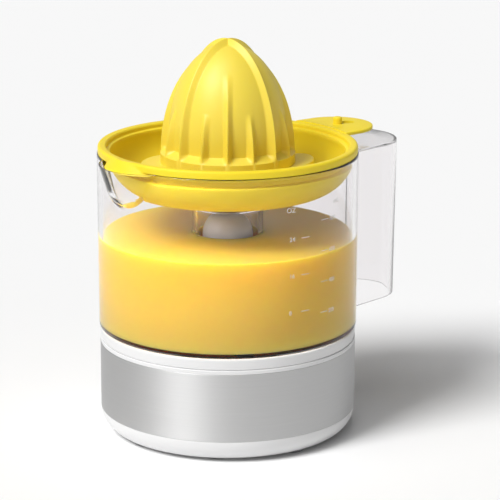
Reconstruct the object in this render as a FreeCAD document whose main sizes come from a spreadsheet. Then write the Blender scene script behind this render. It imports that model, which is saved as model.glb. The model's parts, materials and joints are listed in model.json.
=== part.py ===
"""Citrus press: motor base with a steel band, clear jug, strainer and ribbed reamer. Millimetres, +Z up.

The origin is on the drive axis at the standing plane. The jug's handle points to +X and its spout to -X.
"""
import FreeCAD
import Part
import Sketcher
import math
import operator
import os
from FreeCAD import Placement, Rotation, Vector

UP = Vector(0, 0, 1)
NO_TURN = Rotation()
FOOT_COUNT = 4
POST_COUNT = 4
SLOT_COUNT = 36
KEY_COUNT = 3
RIB_SETS = 4
WING_COUNT = 2

SIZES = {
    # fits
    "running": 0.05,
    "slip": 0.1,
    "seat_gap": 0.2,
    # foot ring, steel band and shell
    "base_radius": 68.0,
    "foot_height": 2.0,
    "foot_radius": 6.5,
    "foot_inset": 14.0,
    "foot_stem_radius": 3.0,
    "foot_stem": 1.5,
    "cover_inset": 6.0,
    "cover_floor": 2.5,
    "cover_height": 10.3,
    "spigot_wall": 2.4,
    "spigot_height": 4.7,
    "band_height": 36.3,
    "band_gauge": 0.6,
    "shell_wall": 2.5,
    "lip_height": 2.1,
    # screw posts between cover and deck
    "post_inset": 11.0,
    "post_radius": 4.2,
    "boss_height": 5.5,
    "screw_radius": 1.5,
    "screw_head_radius": 2.9,
    "screw_head": 2.2,
    "screw_bite": 12.0,
    # lead entry
    "gland_height": 7.3,
    "gland_radius": 3.6,
    "gland_flange": 4.7,
    "gland_inset": 3.6,
    "gland_bore": 2.6,
    "gland_nose": 7.0,
    # deck and tower
    "deck_inset": 0.4,
    "deck_height": 6.1,
    "deck_plate": 2.5,
    "deck_recess": 2.8,
    "deck_rim": 7.0,
    "groove_gap": 0.5,
    "tower_radius": 13.3,
    "tower_wall": 2.5,
    "tower_gap": 15.1,
    "bush_radius": 6.2,
    "bush_length": 7.0,
    "bush_ledge": 3.0,
    "seal_height": 2.0,
    # gears and motor keep their share of the base
    "train_growth": 0.0147058824,
    "pressure_angle": 25.0,
    "backlash": 0.16,
    "fine_module": 0.8,
    "coarse_module": 1.0,
    "pinion_teeth": 12,
    "idler_wheel_teeth": 60,
    "idler_pinion_teeth": 12,
    "output_teeth": 60,
    "idler_wheel_face": 4.0,
    "idler_pinion_face": 9.0,
    "output_face": 6.0,
    "idler_axle_radius": 2.0,
    "journal_radius": 8.0,
    "thrust_radius": 10.0,
    "washer_gauge": 1.0,
    # plate that carries motor and gears
    "plate_height": 27.0,
    "plate_gauge": 2.0,
    "plate_radius": 50.0,
    "plate_post_circle": 42.0,
    "plate_post_radius": 3.6,
    "axle_boss_radius": 4.5,
    # motor
    "rotor_across": 18.0,
    "rotor_back": 34.0,
    "rotor_radius": 11.0,
    "rotor_length": 12.5,
    "air_gap": 0.5,
    "rotor_shaft_radius": 1.5,
    "stack_height": 14.0,
    "core_half_length": 30.0,
    "core_half_width": 13.5,
    "leg_width": 9.0,
    "yoke_length": 10.0,
    "bobbin_wall": 1.0,
    "winding_depth": 2.8,
    "bobbin_length": 22.0,
    "bridge_gauge": 2.0,
    "bridge_width": 8.0,
    # drive shaft and switch
    "shaft_radius": 4.0,
    "shaft_flat": 3.0,
    "stub_radius": 3.0,
    "stub_flat": 2.4,
    "spring_room": 9.5,
    "drive_rise": 4.5,
    "shaft_rise": 19.8,
    "press_travel": 2.0,
    "clip_gauge": 0.9,
    "clip_radius": 5.0,
    "clip_groove": 2.1,
    "spring_wire": 0.8,
    "spring_turns": 5,
    "switch_length": 20.0,
    "switch_width": 10.0,
    "switch_height": 9.0,
    "plunger_radius": 1.9,
    "plunger_reach": 4.0,
    "plunger_depth": 4.5,
    # jug
    "jug_draft": 0.4,
    "jug_height": 93.5,
    "jug_wall": 2.5,
    "jug_floor": 2.4,
    "jug_recess": 0.8,
    "jug_foot_inset": 5.0,
    "jug_edge_round": 2.0,
    "rim_ledge": 1.1,
    "rim_ledge_depth": 2.0,
    "column_radius": 19.3,
    "column_draft": 0.7,
    "column_gap": 5.5,
    "column_hole": 6.0,
    "spout_overhang": 8.8,
    "spout_radius": 26.6,
    "spout_heel_radius": 16.0,
    "spout_drop": 20.4,
    "spout_knee_radius": 20.0,
    "spout_knee_rise": 3.7,
    "spout_knee_overhang": 3.5,
    "key_width": 8.0,
    "key_height": 2.2,
    "key_inset": 13.0,
    "key_length": 8.0,
    # handle
    "handle_drop": 4.1,
    "handle_lift": 2.8,
    "handle_depth": 42.5,
    "handle_end_radius": 25.0,
    "handle_root_half": 29.0,
    "handle_taper": 0.8,
    "handle_round": 1.2,
    # strainer
    "flange_gap": 0.4,
    "flange_height": 6.9,
    "flange_round": 1.8,
    "flange_top_width": 3.8,
    "flange_inner_drop": 4.2,
    "bowl_ledge": 1.6,
    "bowl_bend": 22.2,
    "bowl_depth": 23.8,
    "bowl_wall": 2.6,
    "shoulder_drop": 10.4,
    "neck_gap": 2.5,
    "shoulder_gap": 1.2,
    "hub_foot_radius": 19.0,
    "hub_top_radius": 10.0,
    "hub_rise": 8.6,
    "hub_hole": 5.6,
    "slot_width": 2.0,
    "slot_inner": 23.0,
    "slot_rim": 3.0,
    "tab_rise": 1.6,
    "tab_overhang": 26.2,
    "tab_half_width": 21.0,
    "tab_end_radius": 20.5,
    "tab_gauge": 2.4,
    "tab_hole_overhang": 9.0,
    "tab_hole_radius": 3.0,
    "tab_stud_radius": 3.0,
    "tab_stud_height": 3.0,
    "lip_clear": 0.7,
    # reamer
    "main_crest_rise": 59.9,
    "reamer_skirt_radius": 35.4,
    "skirt_height": 13.0,
    "skirt_gap": 5.4,
    "reamer_wall": 2.6,
    "core_radius": 30.8,
    "ledge_rise": 3.0,
    "core_lift": 10.0,
    "core_rise": 47.0,
    "long_crest_rise": 55.5,
    "short_crest_rise": 45.5,
    "long_crest_sweep": 72.0,
    "short_crest_sweep": 54.0,
    "rib_half_width": 2.6,
    "rib_depth": 5.0,
    "rib_turn": 7.0,
    "wing_reach": 44.5,
    "wing_half_width": 17.0,
    "wing_lift": 7.9,
    "wing_gauge": 2.5,
    "wing_turn": -28.0,
    "socket_radius": 8.0,
    "socket_gap": 2.8,
}

ACTIONS = {"+": operator.add, "-": operator.sub, "*": operator.mul, "/": operator.truediv}


class Dim:
    """A size from the sheet, or a sum of such sizes: its number and the expression that gives it."""

    def __init__(self, number, text):
        self.number = number
        self.text = text

    def __add__(self, other):
        return combined(self, "+", other)

    def __radd__(self, other):
        return combined(other, "+", self)

    def __sub__(self, other):
        return combined(self, "-", other)

    def __rsub__(self, other):
        return combined(other, "-", self)

    def __mul__(self, other):
        return combined(self, "*", other)

    def __rmul__(self, other):
        return combined(other, "*", self)

    def __truediv__(self, other):
        return combined(self, "/", other)

    def __neg__(self):
        return combined(0, "-", self)


def as_dim(value):
    """The value as a Dim, also where it is a plain number."""
    return value if isinstance(value, Dim) else Dim(float(value), f"({float(value)})")


def combined(left, sign, right):
    """The Dim of one operation on two values."""
    left = as_dim(left)
    right = as_dim(right)
    return Dim(ACTIONS[sign](left.number, right.number), f"({left.text} {sign} {right.text})")


doc = FreeCAD.newDocument("citrus_press")
sheet = doc.addObject("Spreadsheet::Sheet", "sizes")
NODES = []


def fill_sheet():
    """Write every driving size to the sheet, with its name as alias."""
    for row, (name, number) in enumerate(SIZES.items(), start=1):
        sheet.set(f"A{row}", name)
        sheet.set(f"B{row}", str(number))
        sheet.setAlias(f"B{row}", name)
    doc.recompute()


def size(name):
    """A driving size as a Dim."""
    return Dim(float(sheet.get(name)), f"sizes.{name}")


def number(name):
    """A driving size as a plain number, for shapes that are set directly."""
    return float(sheet.get(name))


def bind(item, prop, value):
    """Bind a property to a size."""
    item.setExpression(prop, as_dim(value).text)


def new_body(label):
    """A PartDesign body that becomes the node of that name."""
    body = doc.addObject("PartDesign::Body", label)
    body.Label = label
    NODES.append(body)
    return body


def new_feature(label, *solids):
    """A node whose solids are set directly."""
    item = doc.addObject("Part::Feature", label)
    item.Label = label
    item.Shape = solids[0] if len(solids) == 1 else Part.makeCompound(list(solids))
    item.Placement = Placement()
    NODES.append(item)
    return item


def sketch_on(body, role, name, lift=0):
    """A sketch on one of the body's own origin planes, raised along the plane's normal."""
    sketch = body.newObject("Sketcher::SketchObject", name)
    plane = next(item for item in body.Origin.OriginFeatures if item.Role == role)
    sketch.AttachmentSupport = [(plane, "")]
    sketch.MapMode = "FlatFace"
    sketch.AttachmentOffset = Placement(Vector(0, 0, as_dim(lift).number), NO_TURN)
    bind(sketch, "AttachmentOffset.Base.z", lift)
    return sketch


def constrain(sketch, value, *terms):
    """Add a constraint whose value is bound to a size."""
    index = sketch.addConstraint(Sketcher.Constraint(*terms, as_dim(value).number))
    bind(sketch, f"Constraints[{index}]", value)


def fix_point(sketch, item, end, across, up):
    """Hold one point of a sketch item at two distances from the sketch's origin."""
    for kind, value, axis in (("DistanceX", across, -2), ("DistanceY", up, -1)):
        if isinstance(value, Dim):
            constrain(sketch, value, kind, -1, 1, item, end)
        elif value == 0:
            sketch.addConstraint(Sketcher.Constraint("PointOnObject", item, end, axis))
        else:
            constrain(sketch, value, kind, -1, 1, item, end)


def arc_between(start, end, radius):
    """The arc from start to end, bulging to the right of that way where the radius is positive."""
    chord = end - start
    half = chord.Length / 2
    sag = abs(radius) - math.sqrt(max(radius * radius - half * half, 0))
    side = Vector(chord.y, -chord.x, 0).normalize() * math.copysign(sag, radius)
    return Part.Arc(start, (start + end) / 2 + side, end)


def outline(sketch, *points):
    """A closed outline through points (across, up), where a third value is the radius of the arc to there."""
    flat = [Vector(as_dim(point[0]).number, as_dim(point[1]).number, 0) for point in points]
    count = len(points)
    for index in range(count):
        following = points[(index + 1) % count]
        start = flat[index]
        end = flat[(index + 1) % count]
        if len(following) > 2:
            sketch.addGeometry(arc_between(start, end, as_dim(following[2]).number))
        else:
            sketch.addGeometry(Part.LineSegment(start, end))
    ends = []
    for index in range(count):
        arc = len(points[(index + 1) % count]) > 2
        backwards = arc and as_dim(points[(index + 1) % count][2]).number < 0
        ends.append((2, 1) if backwards else (1, 2))
    for index in range(count):
        after = (index + 1) % count
        sketch.addConstraint(Sketcher.Constraint("Coincident", index, ends[index][1], after, ends[after][0]))
    for index, point in enumerate(points):
        fix_point(sketch, index, ends[index][0], point[0], point[1])
        following = points[(index + 1) % count]
        if len(following) > 2:
            radius = following[2] if as_dim(following[2]).number > 0 else 0 - following[2]
            constrain(sketch, radius, "Radius", index)


def circle(sketch, across, up, radius):
    """A full circle."""
    middle = Vector(as_dim(across).number, as_dim(up).number, 0)
    item = sketch.addGeometry(Part.Circle(middle, UP, as_dim(radius).number))
    constrain(sketch, radius, "Radius", item)
    fix_point(sketch, item, 3, across, up)


def rectangle(sketch, left, low, right, high):
    """An upright rectangle."""
    outline(sketch, (left, low), (right, low), (right, high), (left, high))


def revolve(body, name, *points, cut=False):
    """Turn an outline of (radius, height) points about the body's Z axis, to add or to cut."""
    sketch = sketch_on(body, "XZ_Plane", f"{name}_outline")
    outline(sketch, *points)
    feature = body.newObject("PartDesign::Groove" if cut else "PartDesign::Revolution", name)
    feature.Profile = sketch
    feature.ReferenceAxis = (sketch, ["V_Axis"])
    feature.Angle = 360
    sketch.Visibility = False
    return feature


def extrude(body, name, sketch, length, cut=False, backwards=False):
    """Pad or pocket a sketch; a pocket goes against the sketch's normal unless it is backwards."""
    feature = body.newObject("PartDesign::Pocket" if cut else "PartDesign::Pad", name)
    feature.Profile = sketch
    feature.Length = as_dim(length).number
    bind(feature, "Length", length)
    feature.Reversed = backwards
    sketch.Visibility = False
    return feature


def polar(body, name, feature, count, sweep=360):
    """Repeat a feature about the body's Z axis."""
    pattern = body.newObject("PartDesign::PolarPattern", name)
    pattern.Originals = [feature]
    axis = next(item for item in body.Origin.OriginFeatures if item.Role == "Z_Axis")
    pattern.Axis = (axis, [""])
    pattern.Angle = sweep
    pattern.Occurrences = count
    body.Tip = pattern
    return pattern


def loft(body, name, sections, cut=False):
    """Loft between sketches, to add or to cut."""
    feature = body.newObject("PartDesign::SubtractiveLoft" if cut else "PartDesign::AdditiveLoft", name)
    feature.Profile = sections[0]
    feature.Sections = list(sections[1:])
    feature.Ruled = True
    return feature


def round_edges(body, name, radius, wanted):
    """Fillet the edges of the body so far that the test picks."""
    doc.recompute()
    base = body.Tip
    picked = [f"Edge{index}" for index, edge in enumerate(base.Shape.Edges, start=1) if wanted(edge)]
    feature = body.newObject("PartDesign::Fillet", name)
    feature.Base = (base, picked)
    feature.Radius = as_dim(radius).number
    bind(feature, "Radius", radius)
    return feature


def around(solid, count, first=0.0, step=None):
    """Copies of a solid about the drive axis, step degrees apart."""
    step = 360 / count if step is None else step
    copies = []
    for index in range(count):
        copies.append(solid.rotated(Vector(), UP, first + index * step))
    return copies


def rod(radius, low, high, across=0.0, along=0.0):
    """An upright cylinder."""
    return Part.makeCylinder(radius, high - low, Vector(across, along, low))


def ring(outer, inner, low, high, across=0.0, along=0.0):
    """An upright tube."""
    return rod(outer, low, high, across, along).cut(rod(inner, low, high, across, along))


def block(left, front, low, right, back, high):
    """A box between two corners."""
    return Part.makeBox(right - left, back - front, high - low, Vector(left, front, low))


fill_sheet()

# Radii that follow the base
cover_radius = size("base_radius") - size("cover_inset")
foot_circle = size("base_radius") - size("foot_inset")
post_circle = size("base_radius") - size("post_inset")
gland_seat = size("base_radius") - size("gland_inset")
deck_seat_radius = size("base_radius") - size("deck_rim")
key_circle = size("base_radius") - size("key_inset")
jug_foot_radius = size("base_radius") - size("jug_foot_inset")
jug_bore = size("base_radius") - size("jug_wall")
spout_reach = size("base_radius") + size("spout_overhang")
handle_reach = size("base_radius") + size("handle_depth")
flange_radius = jug_bore + size("rim_ledge") - size("flange_gap")
neck_radius = jug_bore - size("neck_gap")
bowl_shoulder_radius = jug_bore - size("shoulder_gap")
bowl_floor_radius = flange_radius - size("bowl_bend")
slot_outer = bowl_floor_radius - size("slot_rim")
tab_reach = size("base_radius") + size("tab_overhang")
tab_hole_reach = size("base_radius") + size("tab_hole_overhang")

# Plan of the gears and the motor
growth = size("base_radius") * size("train_growth")
fine_module = size("fine_module") * growth
coarse_module = size("coarse_module") * growth
plate_radius = size("plate_radius") * growth
plate_post_circle = size("plate_post_circle") * growth
rotor_across = size("rotor_across") * growth
rotor_back = size("rotor_back") * growth
rotor_radius = size("rotor_radius") * growth
core_half_length = size("core_half_length") * growth
core_half_width = size("core_half_width") * growth
leg_width = size("leg_width") * growth
yoke_length = size("yoke_length") * growth
bobbin_length = size("bobbin_length") * growth

# Heights of the base, from the floor up
cover_low = size("foot_height")
cover_inside = cover_low + size("cover_floor")
band_low = cover_low + size("cover_height")
band_high = band_low + size("band_height")
lip_high = band_high + size("lip_height")
boss_high = cover_inside + size("boss_height")
deck_high = lip_high + size("deck_height")
deck_inside = deck_high - size("deck_recess")
deck_under = deck_inside - size("deck_plate")
shell_outer = size("base_radius") - size("band_gauge")
shell_inner = shell_outer - size("shell_wall")
spigot_outer = shell_inner - size("slip")
spigot_inner = spigot_outer - size("spigot_wall")
deck_outer = size("base_radius") - size("deck_inset")

# Heights of the gear train
plate_low = size("plate_height")
plate_high = plate_low + size("plate_gauge")
wheel_low = plate_high + size("washer_gauge")
wheel_high = wheel_low + size("idler_wheel_face")
idler_high = wheel_high + size("idler_pinion_face")
output_low = wheel_high + 2 * size("washer_gauge")
output_high = output_low + size("output_face")
journal_high = deck_under - size("washer_gauge")
journal_low = plate_low - 4 * size("slip")
dome_radius = size("tower_radius")
tower_bore = size("tower_radius") - size("tower_wall")

# Heights of the jug and strainer
jug_low = deck_high
jug_high = jug_low + size("jug_height")
jug_under = jug_low + size("jug_recess")
jug_inside = jug_under + size("jug_floor")
column_top_radius = size("column_radius") - size("column_draft")
ledge_high = jug_high - size("rim_ledge_depth")
flange_low = ledge_high + size("seat_gap")
flange_high = flange_low + size("flange_height")
bowl_inside = flange_high - size("bowl_depth")
bowl_under = bowl_inside - size("bowl_wall")
hub_high = bowl_inside + size("hub_rise")
column_high = bowl_under - size("column_gap")
column_under = column_high - size("jug_floor")
tower_shoulder = column_under - size("tower_gap")
handle_top = jug_high - size("handle_drop")
handle_height = size("jug_height") - size("handle_drop") - size("handle_lift")

# Heights of the shaft and the reamer
shoulder_height = journal_high + size("spring_room")
drive_height = column_high + size("drive_rise")
shaft_tip = hub_high + size("shaft_rise")
reamer_skirt_bottom = bowl_inside + size("skirt_gap")
reamer_skirt_top = reamer_skirt_bottom + size("skirt_height")
core_foot = reamer_skirt_top + size("ledge_rise")
core_middle = reamer_skirt_top + size("core_lift")
reamer_tip = reamer_skirt_top + size("main_crest_rise")
wing_top = reamer_skirt_bottom + size("wing_lift")
socket_foot = hub_high + size("socket_gap")


def bottom_cover():
    """White foot ring and floor, with screw bosses, foot sockets and a flat for the lead's gland."""
    body = new_body("bottom_cover")
    inset = size("base_radius") - cover_radius
    rise = size("cover_height")
    flank = (inset * inset + rise * rise) / (2 * inset)
    revolve(
        body,
        "foot_ring",
        (0, cover_low),
        (cover_radius, cover_low),
        (size("base_radius"), band_low, flank),
        (spigot_outer, band_low),
        (spigot_outer, band_low + size("spigot_height")),
        (spigot_inner, band_low + size("spigot_height")),
        (spigot_inner, band_low - size("cover_floor")),
        (cover_radius - size("cover_floor"), cover_inside),
        (0, cover_inside),
    )
    reach = post_circle * math.sqrt(0.5)
    plan = sketch_on(body, "XY_Plane", "boss_plan", cover_inside)
    circle(plan, reach, reach, size("post_radius"))
    boss = extrude(body, "boss", plan, size("boss_height"))
    polar(body, "bosses", boss, POST_COUNT)
    hole_plan = sketch_on(body, "XY_Plane", "screw_hole_plan", cover_low)
    circle(hole_plan, reach, reach, size("screw_radius") + size("slip"))
    hole = extrude(body, "screw_hole", hole_plan, boss_high - cover_low, cut=True, backwards=True)
    polar(body, "screw_holes", hole, POST_COUNT)
    sink_plan = sketch_on(body, "XY_Plane", "screw_sink_plan", cover_low)
    circle(sink_plan, reach, reach, size("screw_head_radius") + size("slip"))
    sink_depth = size("screw_head") + 3 * size("slip")
    sink = extrude(body, "screw_sink", sink_plan, sink_depth, cut=True, backwards=True)
    polar(body, "screw_sinks", sink, POST_COUNT)
    stem_plan = sketch_on(body, "XY_Plane", "foot_socket_plan", cover_low)
    circle(stem_plan, foot_circle, 0, size("foot_stem_radius"))
    stem = extrude(body, "foot_socket", stem_plan, size("foot_stem"), cut=True, backwards=True)
    polar(body, "foot_sockets", stem, FOOT_COUNT)
    flat_plan = sketch_on(body, "YZ_Plane", "gland_flat_plan", gland_seat)
    circle(flat_plan, 0, size("gland_height"), size("gland_flange") + size("slip"))
    extrude(body, "gland_flat", flat_plan, size("base_radius"), cut=True, backwards=True)
    entry_plan = sketch_on(body, "YZ_Plane", "gland_hole_plan", foot_circle)
    circle(entry_plan, 0, size("gland_height"), size("gland_radius"))
    extrude(body, "gland_hole", entry_plan, size("base_radius"), cut=True, backwards=True)
    half = size("switch_length") / 2
    cradle = size("switch_width") / 2
    for side, name in ((1, "left"), (-1, "right")):
        rib_plan = sketch_on(body, "XY_Plane", f"switch_rib_{name}_plan", cover_inside)
        near = side * cradle
        far = side * (cradle + size("cover_floor"))
        rectangle(rib_plan, 0 - half, near, half, far)
        extrude(body, f"switch_rib_{name}", rib_plan, size("switch_height") / 2)


def base_shell():
    """White wall behind the steel band, with the thin lip that shows above the band."""
    body = new_body("base_shell")
    revolve(
        body,
        "wall",
        (shell_inner, band_low),
        (shell_outer, band_low),
        (shell_outer, band_high),
        (size("base_radius"), band_high),
        (size("base_radius"), lip_high),
        (shell_inner, lip_high),
    )


def steel_band():
    """Brushed steel sleeve round the shell."""
    body = new_body("steel_band")
    revolve(
        body,
        "sleeve",
        (shell_outer, band_low),
        (size("base_radius"), band_low),
        (size("base_radius"), band_high),
        (shell_outer, band_high),
    )


def deck():
    """White top of the base: jug seat, tower for the shaft, posts for the cover and the gear plate."""
    body = new_body("deck")
    journal = size("journal_radius") + size("running")
    boss = journal + size("tower_wall") + size("cover_floor")
    neck = size("bush_radius")
    tower_top = tower_shoulder + dome_radius * 0.885
    bush_low = tower_top - size("bush_length")
    ledge_low = bush_low - size("bush_ledge")
    throat = size("shaft_radius") + 6 * size("slip")
    revolve(
        body,
        "top",
        (journal, output_high + size("washer_gauge")),
        (boss, output_high + size("washer_gauge")),
        (boss, deck_under),
        (spigot_inner, deck_under),
        (spigot_inner, lip_high - size("spigot_height")),
        (spigot_outer, lip_high - size("spigot_height")),
        (spigot_outer, lip_high),
        (deck_outer - size("groove_gap"), lip_high),
        (deck_outer, lip_high + size("groove_gap")),
        (size("base_radius"), deck_high - 2 * size("groove_gap")),
        (size("base_radius") - size("groove_gap"), deck_high),
        (deck_seat_radius, deck_high),
        (deck_seat_radius, deck_inside),
        (size("tower_radius") + size("tower_wall"), deck_inside),
        (size("tower_radius"), deck_inside + size("tower_wall"), 0 - size("tower_wall")),
        (size("tower_radius"), tower_shoulder),
        (neck, tower_top, dome_radius),
        (neck, bush_low),
        (throat, bush_low),
        (throat, ledge_low),
        (tower_bore, ledge_low - tower_bore / 2),
        (tower_bore, deck_under),
        (journal, deck_under),
    )
    reach = post_circle * math.sqrt(0.5)
    post_plan = sketch_on(body, "XY_Plane", "post_plan", boss_high)
    circle(post_plan, reach, reach, size("post_radius"))
    post = extrude(body, "post", post_plan, deck_under + size("groove_gap") - boss_high)
    polar(body, "posts", post, POST_COUNT)
    pilot_plan = sketch_on(body, "XY_Plane", "pilot_plan", boss_high)
    circle(pilot_plan, reach, reach, size("screw_radius") + size("slip"))
    pilot = extrude(body, "pilot", pilot_plan, size("screw_bite"), cut=True, backwards=True)
    polar(body, "pilots", pilot, POST_COUNT)
    hang_plan = sketch_on(body, "XY_Plane", "hanger_plan", plate_high)
    hang_x, hang_y = plate_post_place(plate_post_circle)
    circle(hang_plan, hang_x, hang_y, size("plate_post_radius"))
    hanger = extrude(body, "hanger", hang_plan, deck_under + size("groove_gap") - plate_high)
    polar(body, "hangers", hanger, len(PLATE_POSTS), PLATE_POST_SWEEP)
    bite_plan = sketch_on(body, "XY_Plane", "hanger_pilot_plan", plate_high)
    circle(bite_plan, hang_x, hang_y, size("screw_radius") + size("slip"))
    bite = extrude(body, "hanger_pilot", bite_plan, size("screw_bite"), cut=True, backwards=True)
    polar(body, "hanger_pilots", bite, len(PLATE_POSTS), PLATE_POST_SWEEP)
    axle_plan = sketch_on(body, "XY_Plane", "axle_boss_plan", idler_high + size("washer_gauge"))
    circle(axle_plan, idler_across, idler_back, size("axle_boss_radius"))
    extrude(body, "axle_boss", axle_plan, deck_under + size("groove_gap") - idler_high - size("washer_gauge"))
    axle_hole = sketch_on(body, "XY_Plane", "axle_hole_plan", idler_high)
    circle(axle_hole, idler_across, idler_back, size("idler_axle_radius"))
    extrude(body, "axle_hole", axle_hole, axle_high - idler_high, cut=True, backwards=True)
    key_plan = sketch_on(body, "XY_Plane", "key_notch_plan", deck_high)
    key_half = size("key_width") / 2 + 5 * size("slip")
    key_far = key_circle + size("key_length") + 5 * size("slip")
    rectangle(key_plan, key_circle, 0 - key_half, key_far, key_half)
    notch = extrude(body, "key_notch", key_plan, size("deck_recess"), cut=True)
    polar(body, "key_notches", notch, KEY_COUNT)


def rubber_feet():
    """Four grey pads with stems that press into the cover."""
    low = cover_low.number
    pad = rod(number("foot_radius"), 0, low, foot_circle.number)
    edge = [item for item in pad.Edges if item.BoundBox.ZMax < low / 2 and len(item.Vertexes) == 1]
    pad = pad.makeChamfer(low / 4, edge)
    stem = rod(number("foot_stem_radius"), 0, low + number("foot_stem"), foot_circle.number)
    new_feature("rubber_feet", *around(pad.fuse(stem).removeSplitter(), FOOT_COUNT))


def screws(label, places, head_low, shank_high):
    """A group of pan-head screws that point up."""
    head_high = head_low + number("screw_head")
    solids = []
    for across, along in places:
        head = rod(number("screw_head_radius"), head_low, head_high, across, along)
        slot = block(
            across - number("screw_head_radius"), along - number("slip") * 4, head_low,
            across + number("screw_head_radius"), along + number("slip") * 4, head_low + number("screw_head") / 2,
        )
        shank = rod(number("screw_radius"), head_low, shank_high, across, along)
        solids.append(head.fuse(shank).cut(slot).removeSplitter())
    new_feature(label, *solids)


def cord_gland():
    """Grommet in the rear of the foot ring, where the lead enters."""
    seat = gland_seat.number
    sleeve = number("gland_radius") - number("running")
    inner = seat - 2 * number("cover_floor")
    flange = number("gland_flange")
    bore = number("gland_bore")
    flange_end = seat + number("cover_floor")
    nose = flange_end + number("gland_nose")
    lip = bore + number("foot_stem")
    height = number("gland_height")
    points = [
        (inner, bore), (inner, sleeve), (seat, sleeve), (seat, flange),
        (flange_end, flange), (nose, lip), (nose, bore), (inner, bore),
    ]
    wire = Part.makePolygon([Vector(across, 0, height + up) for across, up in points])
    solid = Part.Face(wire).revolve(Vector(0, 0, height), Vector(1, 0, 0), 360)
    new_feature("cord_gland", solid)


def shaft_guides():
    """Bush in the top of the tower, and the seal ring that sits on it."""
    top = tower_shoulder.number + dome_radius.number * 0.885
    bore = number("shaft_radius") + number("running")
    outer = number("bush_radius")
    new_feature("shaft_bush", ring(outer, bore, top - number("bush_length"), top))
    new_feature("shaft_seal", ring(outer, bore, top, top + number("seal_height")))


def gear_outline(teeth, module, low, high, across=0.0, along=0.0, turn=0.0):
    """A spur gear blank: straight chords stand for the involute flanks, and lie inside them."""
    angle = math.radians(number("pressure_angle"))
    pitch = teeth * module / 2
    base = pitch * math.cos(angle)
    tip = pitch + module
    root = pitch - 1.25 * module
    half_tooth = math.pi / 2 / teeth - number("backlash") / 2 / pitch

    def flank(radius):
        """Half the tooth's angle at a radius."""
        reach = max(radius, base)
        roll = math.acos(base / reach)
        return half_tooth + math.tan(angle) - angle - (math.tan(roll) - roll)

    corners = []
    for tooth in range(teeth):
        middle = 2 * math.pi * tooth / teeth + turn
        stations = [(root, flank(root)), (pitch, flank(pitch)), (tip, flank(tip))]
        for radius, half in stations:
            corners.append((radius, middle - half))
        for radius, half in reversed(stations):
            corners.append((radius, middle + half))
    points = []
    for radius, direction in corners:
        points.append(Vector(across + radius * math.cos(direction), along + radius * math.sin(direction), low))
    face = Part.Face(Part.makePolygon(points + points[:1]))
    return face.extrude(Vector(0, 0, high - low))


def meshing_turn(turn, teeth, direction, other_teeth):
    """The turn of a gear in mesh with one turned by turn, that lies in the given direction from it."""
    phase = 0.5 - (direction - turn) * teeth / (2 * math.pi)
    return direction + math.pi - phase * 2 * math.pi / other_teeth


def flatted_rod(radius, flat, low, high):
    """A shaft with two flats."""
    return rod(radius, low, high).common(block(-radius, -flat, low, radius, flat, high))


# Places of the gear axes: the idler lies at its two centre distances from the drive axis and the rotor
stage_one = (size("pinion_teeth") + size("idler_wheel_teeth")) * fine_module / 2
stage_two = (size("idler_pinion_teeth") + size("output_teeth")) * coarse_module / 2
rotor_reach = math.hypot(rotor_across.number, rotor_back.number)
rotor_bearing = math.atan2(rotor_back.number, rotor_across.number)
corner_cosine = (stage_two.number ** 2 + rotor_reach ** 2 - stage_one.number ** 2) / (
    2 * stage_two.number * rotor_reach
)
idler_bearing = rotor_bearing - math.acos(corner_cosine)
idler_across = stage_two * math.cos(idler_bearing)
idler_back = stage_two * math.sin(idler_bearing)
axle_high = deck_under - size("groove_gap")
PLATE_POST_SWEEP = 160
PLATE_POSTS = (150, 230, 310)


def plate_post_place(circle_radius, index=0):
    """Where a plate post stands."""
    bearing = math.radians(PLATE_POSTS[index])
    return circle_radius * math.cos(bearing), circle_radius * math.sin(bearing)


def gears():
    """Output wheel with its journals, compound idler, motor pinion, axle and thrust washer."""
    fine = fine_module.number
    coarse = coarse_module.number
    output_teeth = int(number("output_teeth"))
    idler_teeth = int(number("idler_pinion_teeth"))
    wheel_teeth = int(number("idler_wheel_teeth"))
    pinion_teeth = int(number("pinion_teeth"))
    across = idler_across.number
    along = idler_back.number
    idler_turn = meshing_turn(0.0, output_teeth, idler_bearing, idler_teeth)
    rotor_way = math.atan2(rotor_back.number - along, rotor_across.number - across)
    pinion_turn = meshing_turn(idler_turn, wheel_teeth, rotor_way, pinion_teeth)

    journal = number("journal_radius")
    washer_high = plate_high.number + number("washer_gauge")
    wheel = gear_outline(output_teeth, coarse, output_low.number, output_high.number)
    hub = rod(journal, journal_low.number, journal_high.number)
    collar = rod(number("thrust_radius"), washer_high + number("seat_gap"), output_low.number)
    bore = flatted_rod(
        number("stub_radius") + number("slip"), number("stub_flat") + number("slip"),
        journal_low.number, journal_high.number,
    )
    new_feature("output_gear", wheel.fuse([hub, collar]).cut(bore).removeSplitter())
    new_feature(
        "thrust_washer",
        ring(number("thrust_radius"), journal + number("slip"), plate_high.number, washer_high),
    )

    axle = number("idler_axle_radius")
    gap = number("seat_gap")
    wheel = gear_outline(wheel_teeth, fine, wheel_low.number, wheel_high.number, across, along, idler_turn)
    small = gear_outline(idler_teeth, coarse, wheel_high.number, idler_high.number, across, along, idler_turn)
    foot = rod(2 * axle, plate_high.number + gap, wheel_low.number, across, along)
    top = rod(2 * axle, idler_high.number, idler_high.number + number("washer_gauge") - gap, across, along)
    hole = rod(axle + number("running"), plate_high.number, deck_under.number, across, along)
    new_feature("idler_gear", wheel.fuse([small, foot, top]).cut(hole).removeSplitter())
    new_feature("idler_axle", rod(axle, plate_low.number, axle_high.number, across, along))

    rotor_x = rotor_across.number
    rotor_y = rotor_back.number
    pinion_low = plate_high.number + 2 * gap
    pinion_high = wheel_high.number + number("washer_gauge")
    pinion = gear_outline(pinion_teeth, fine, pinion_low, pinion_high, rotor_x, rotor_y, pinion_turn)
    hole = rod(number("rotor_shaft_radius"), pinion_low, pinion_high, rotor_x, rotor_y)
    new_feature("motor_pinion", pinion.cut(hole))


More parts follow.
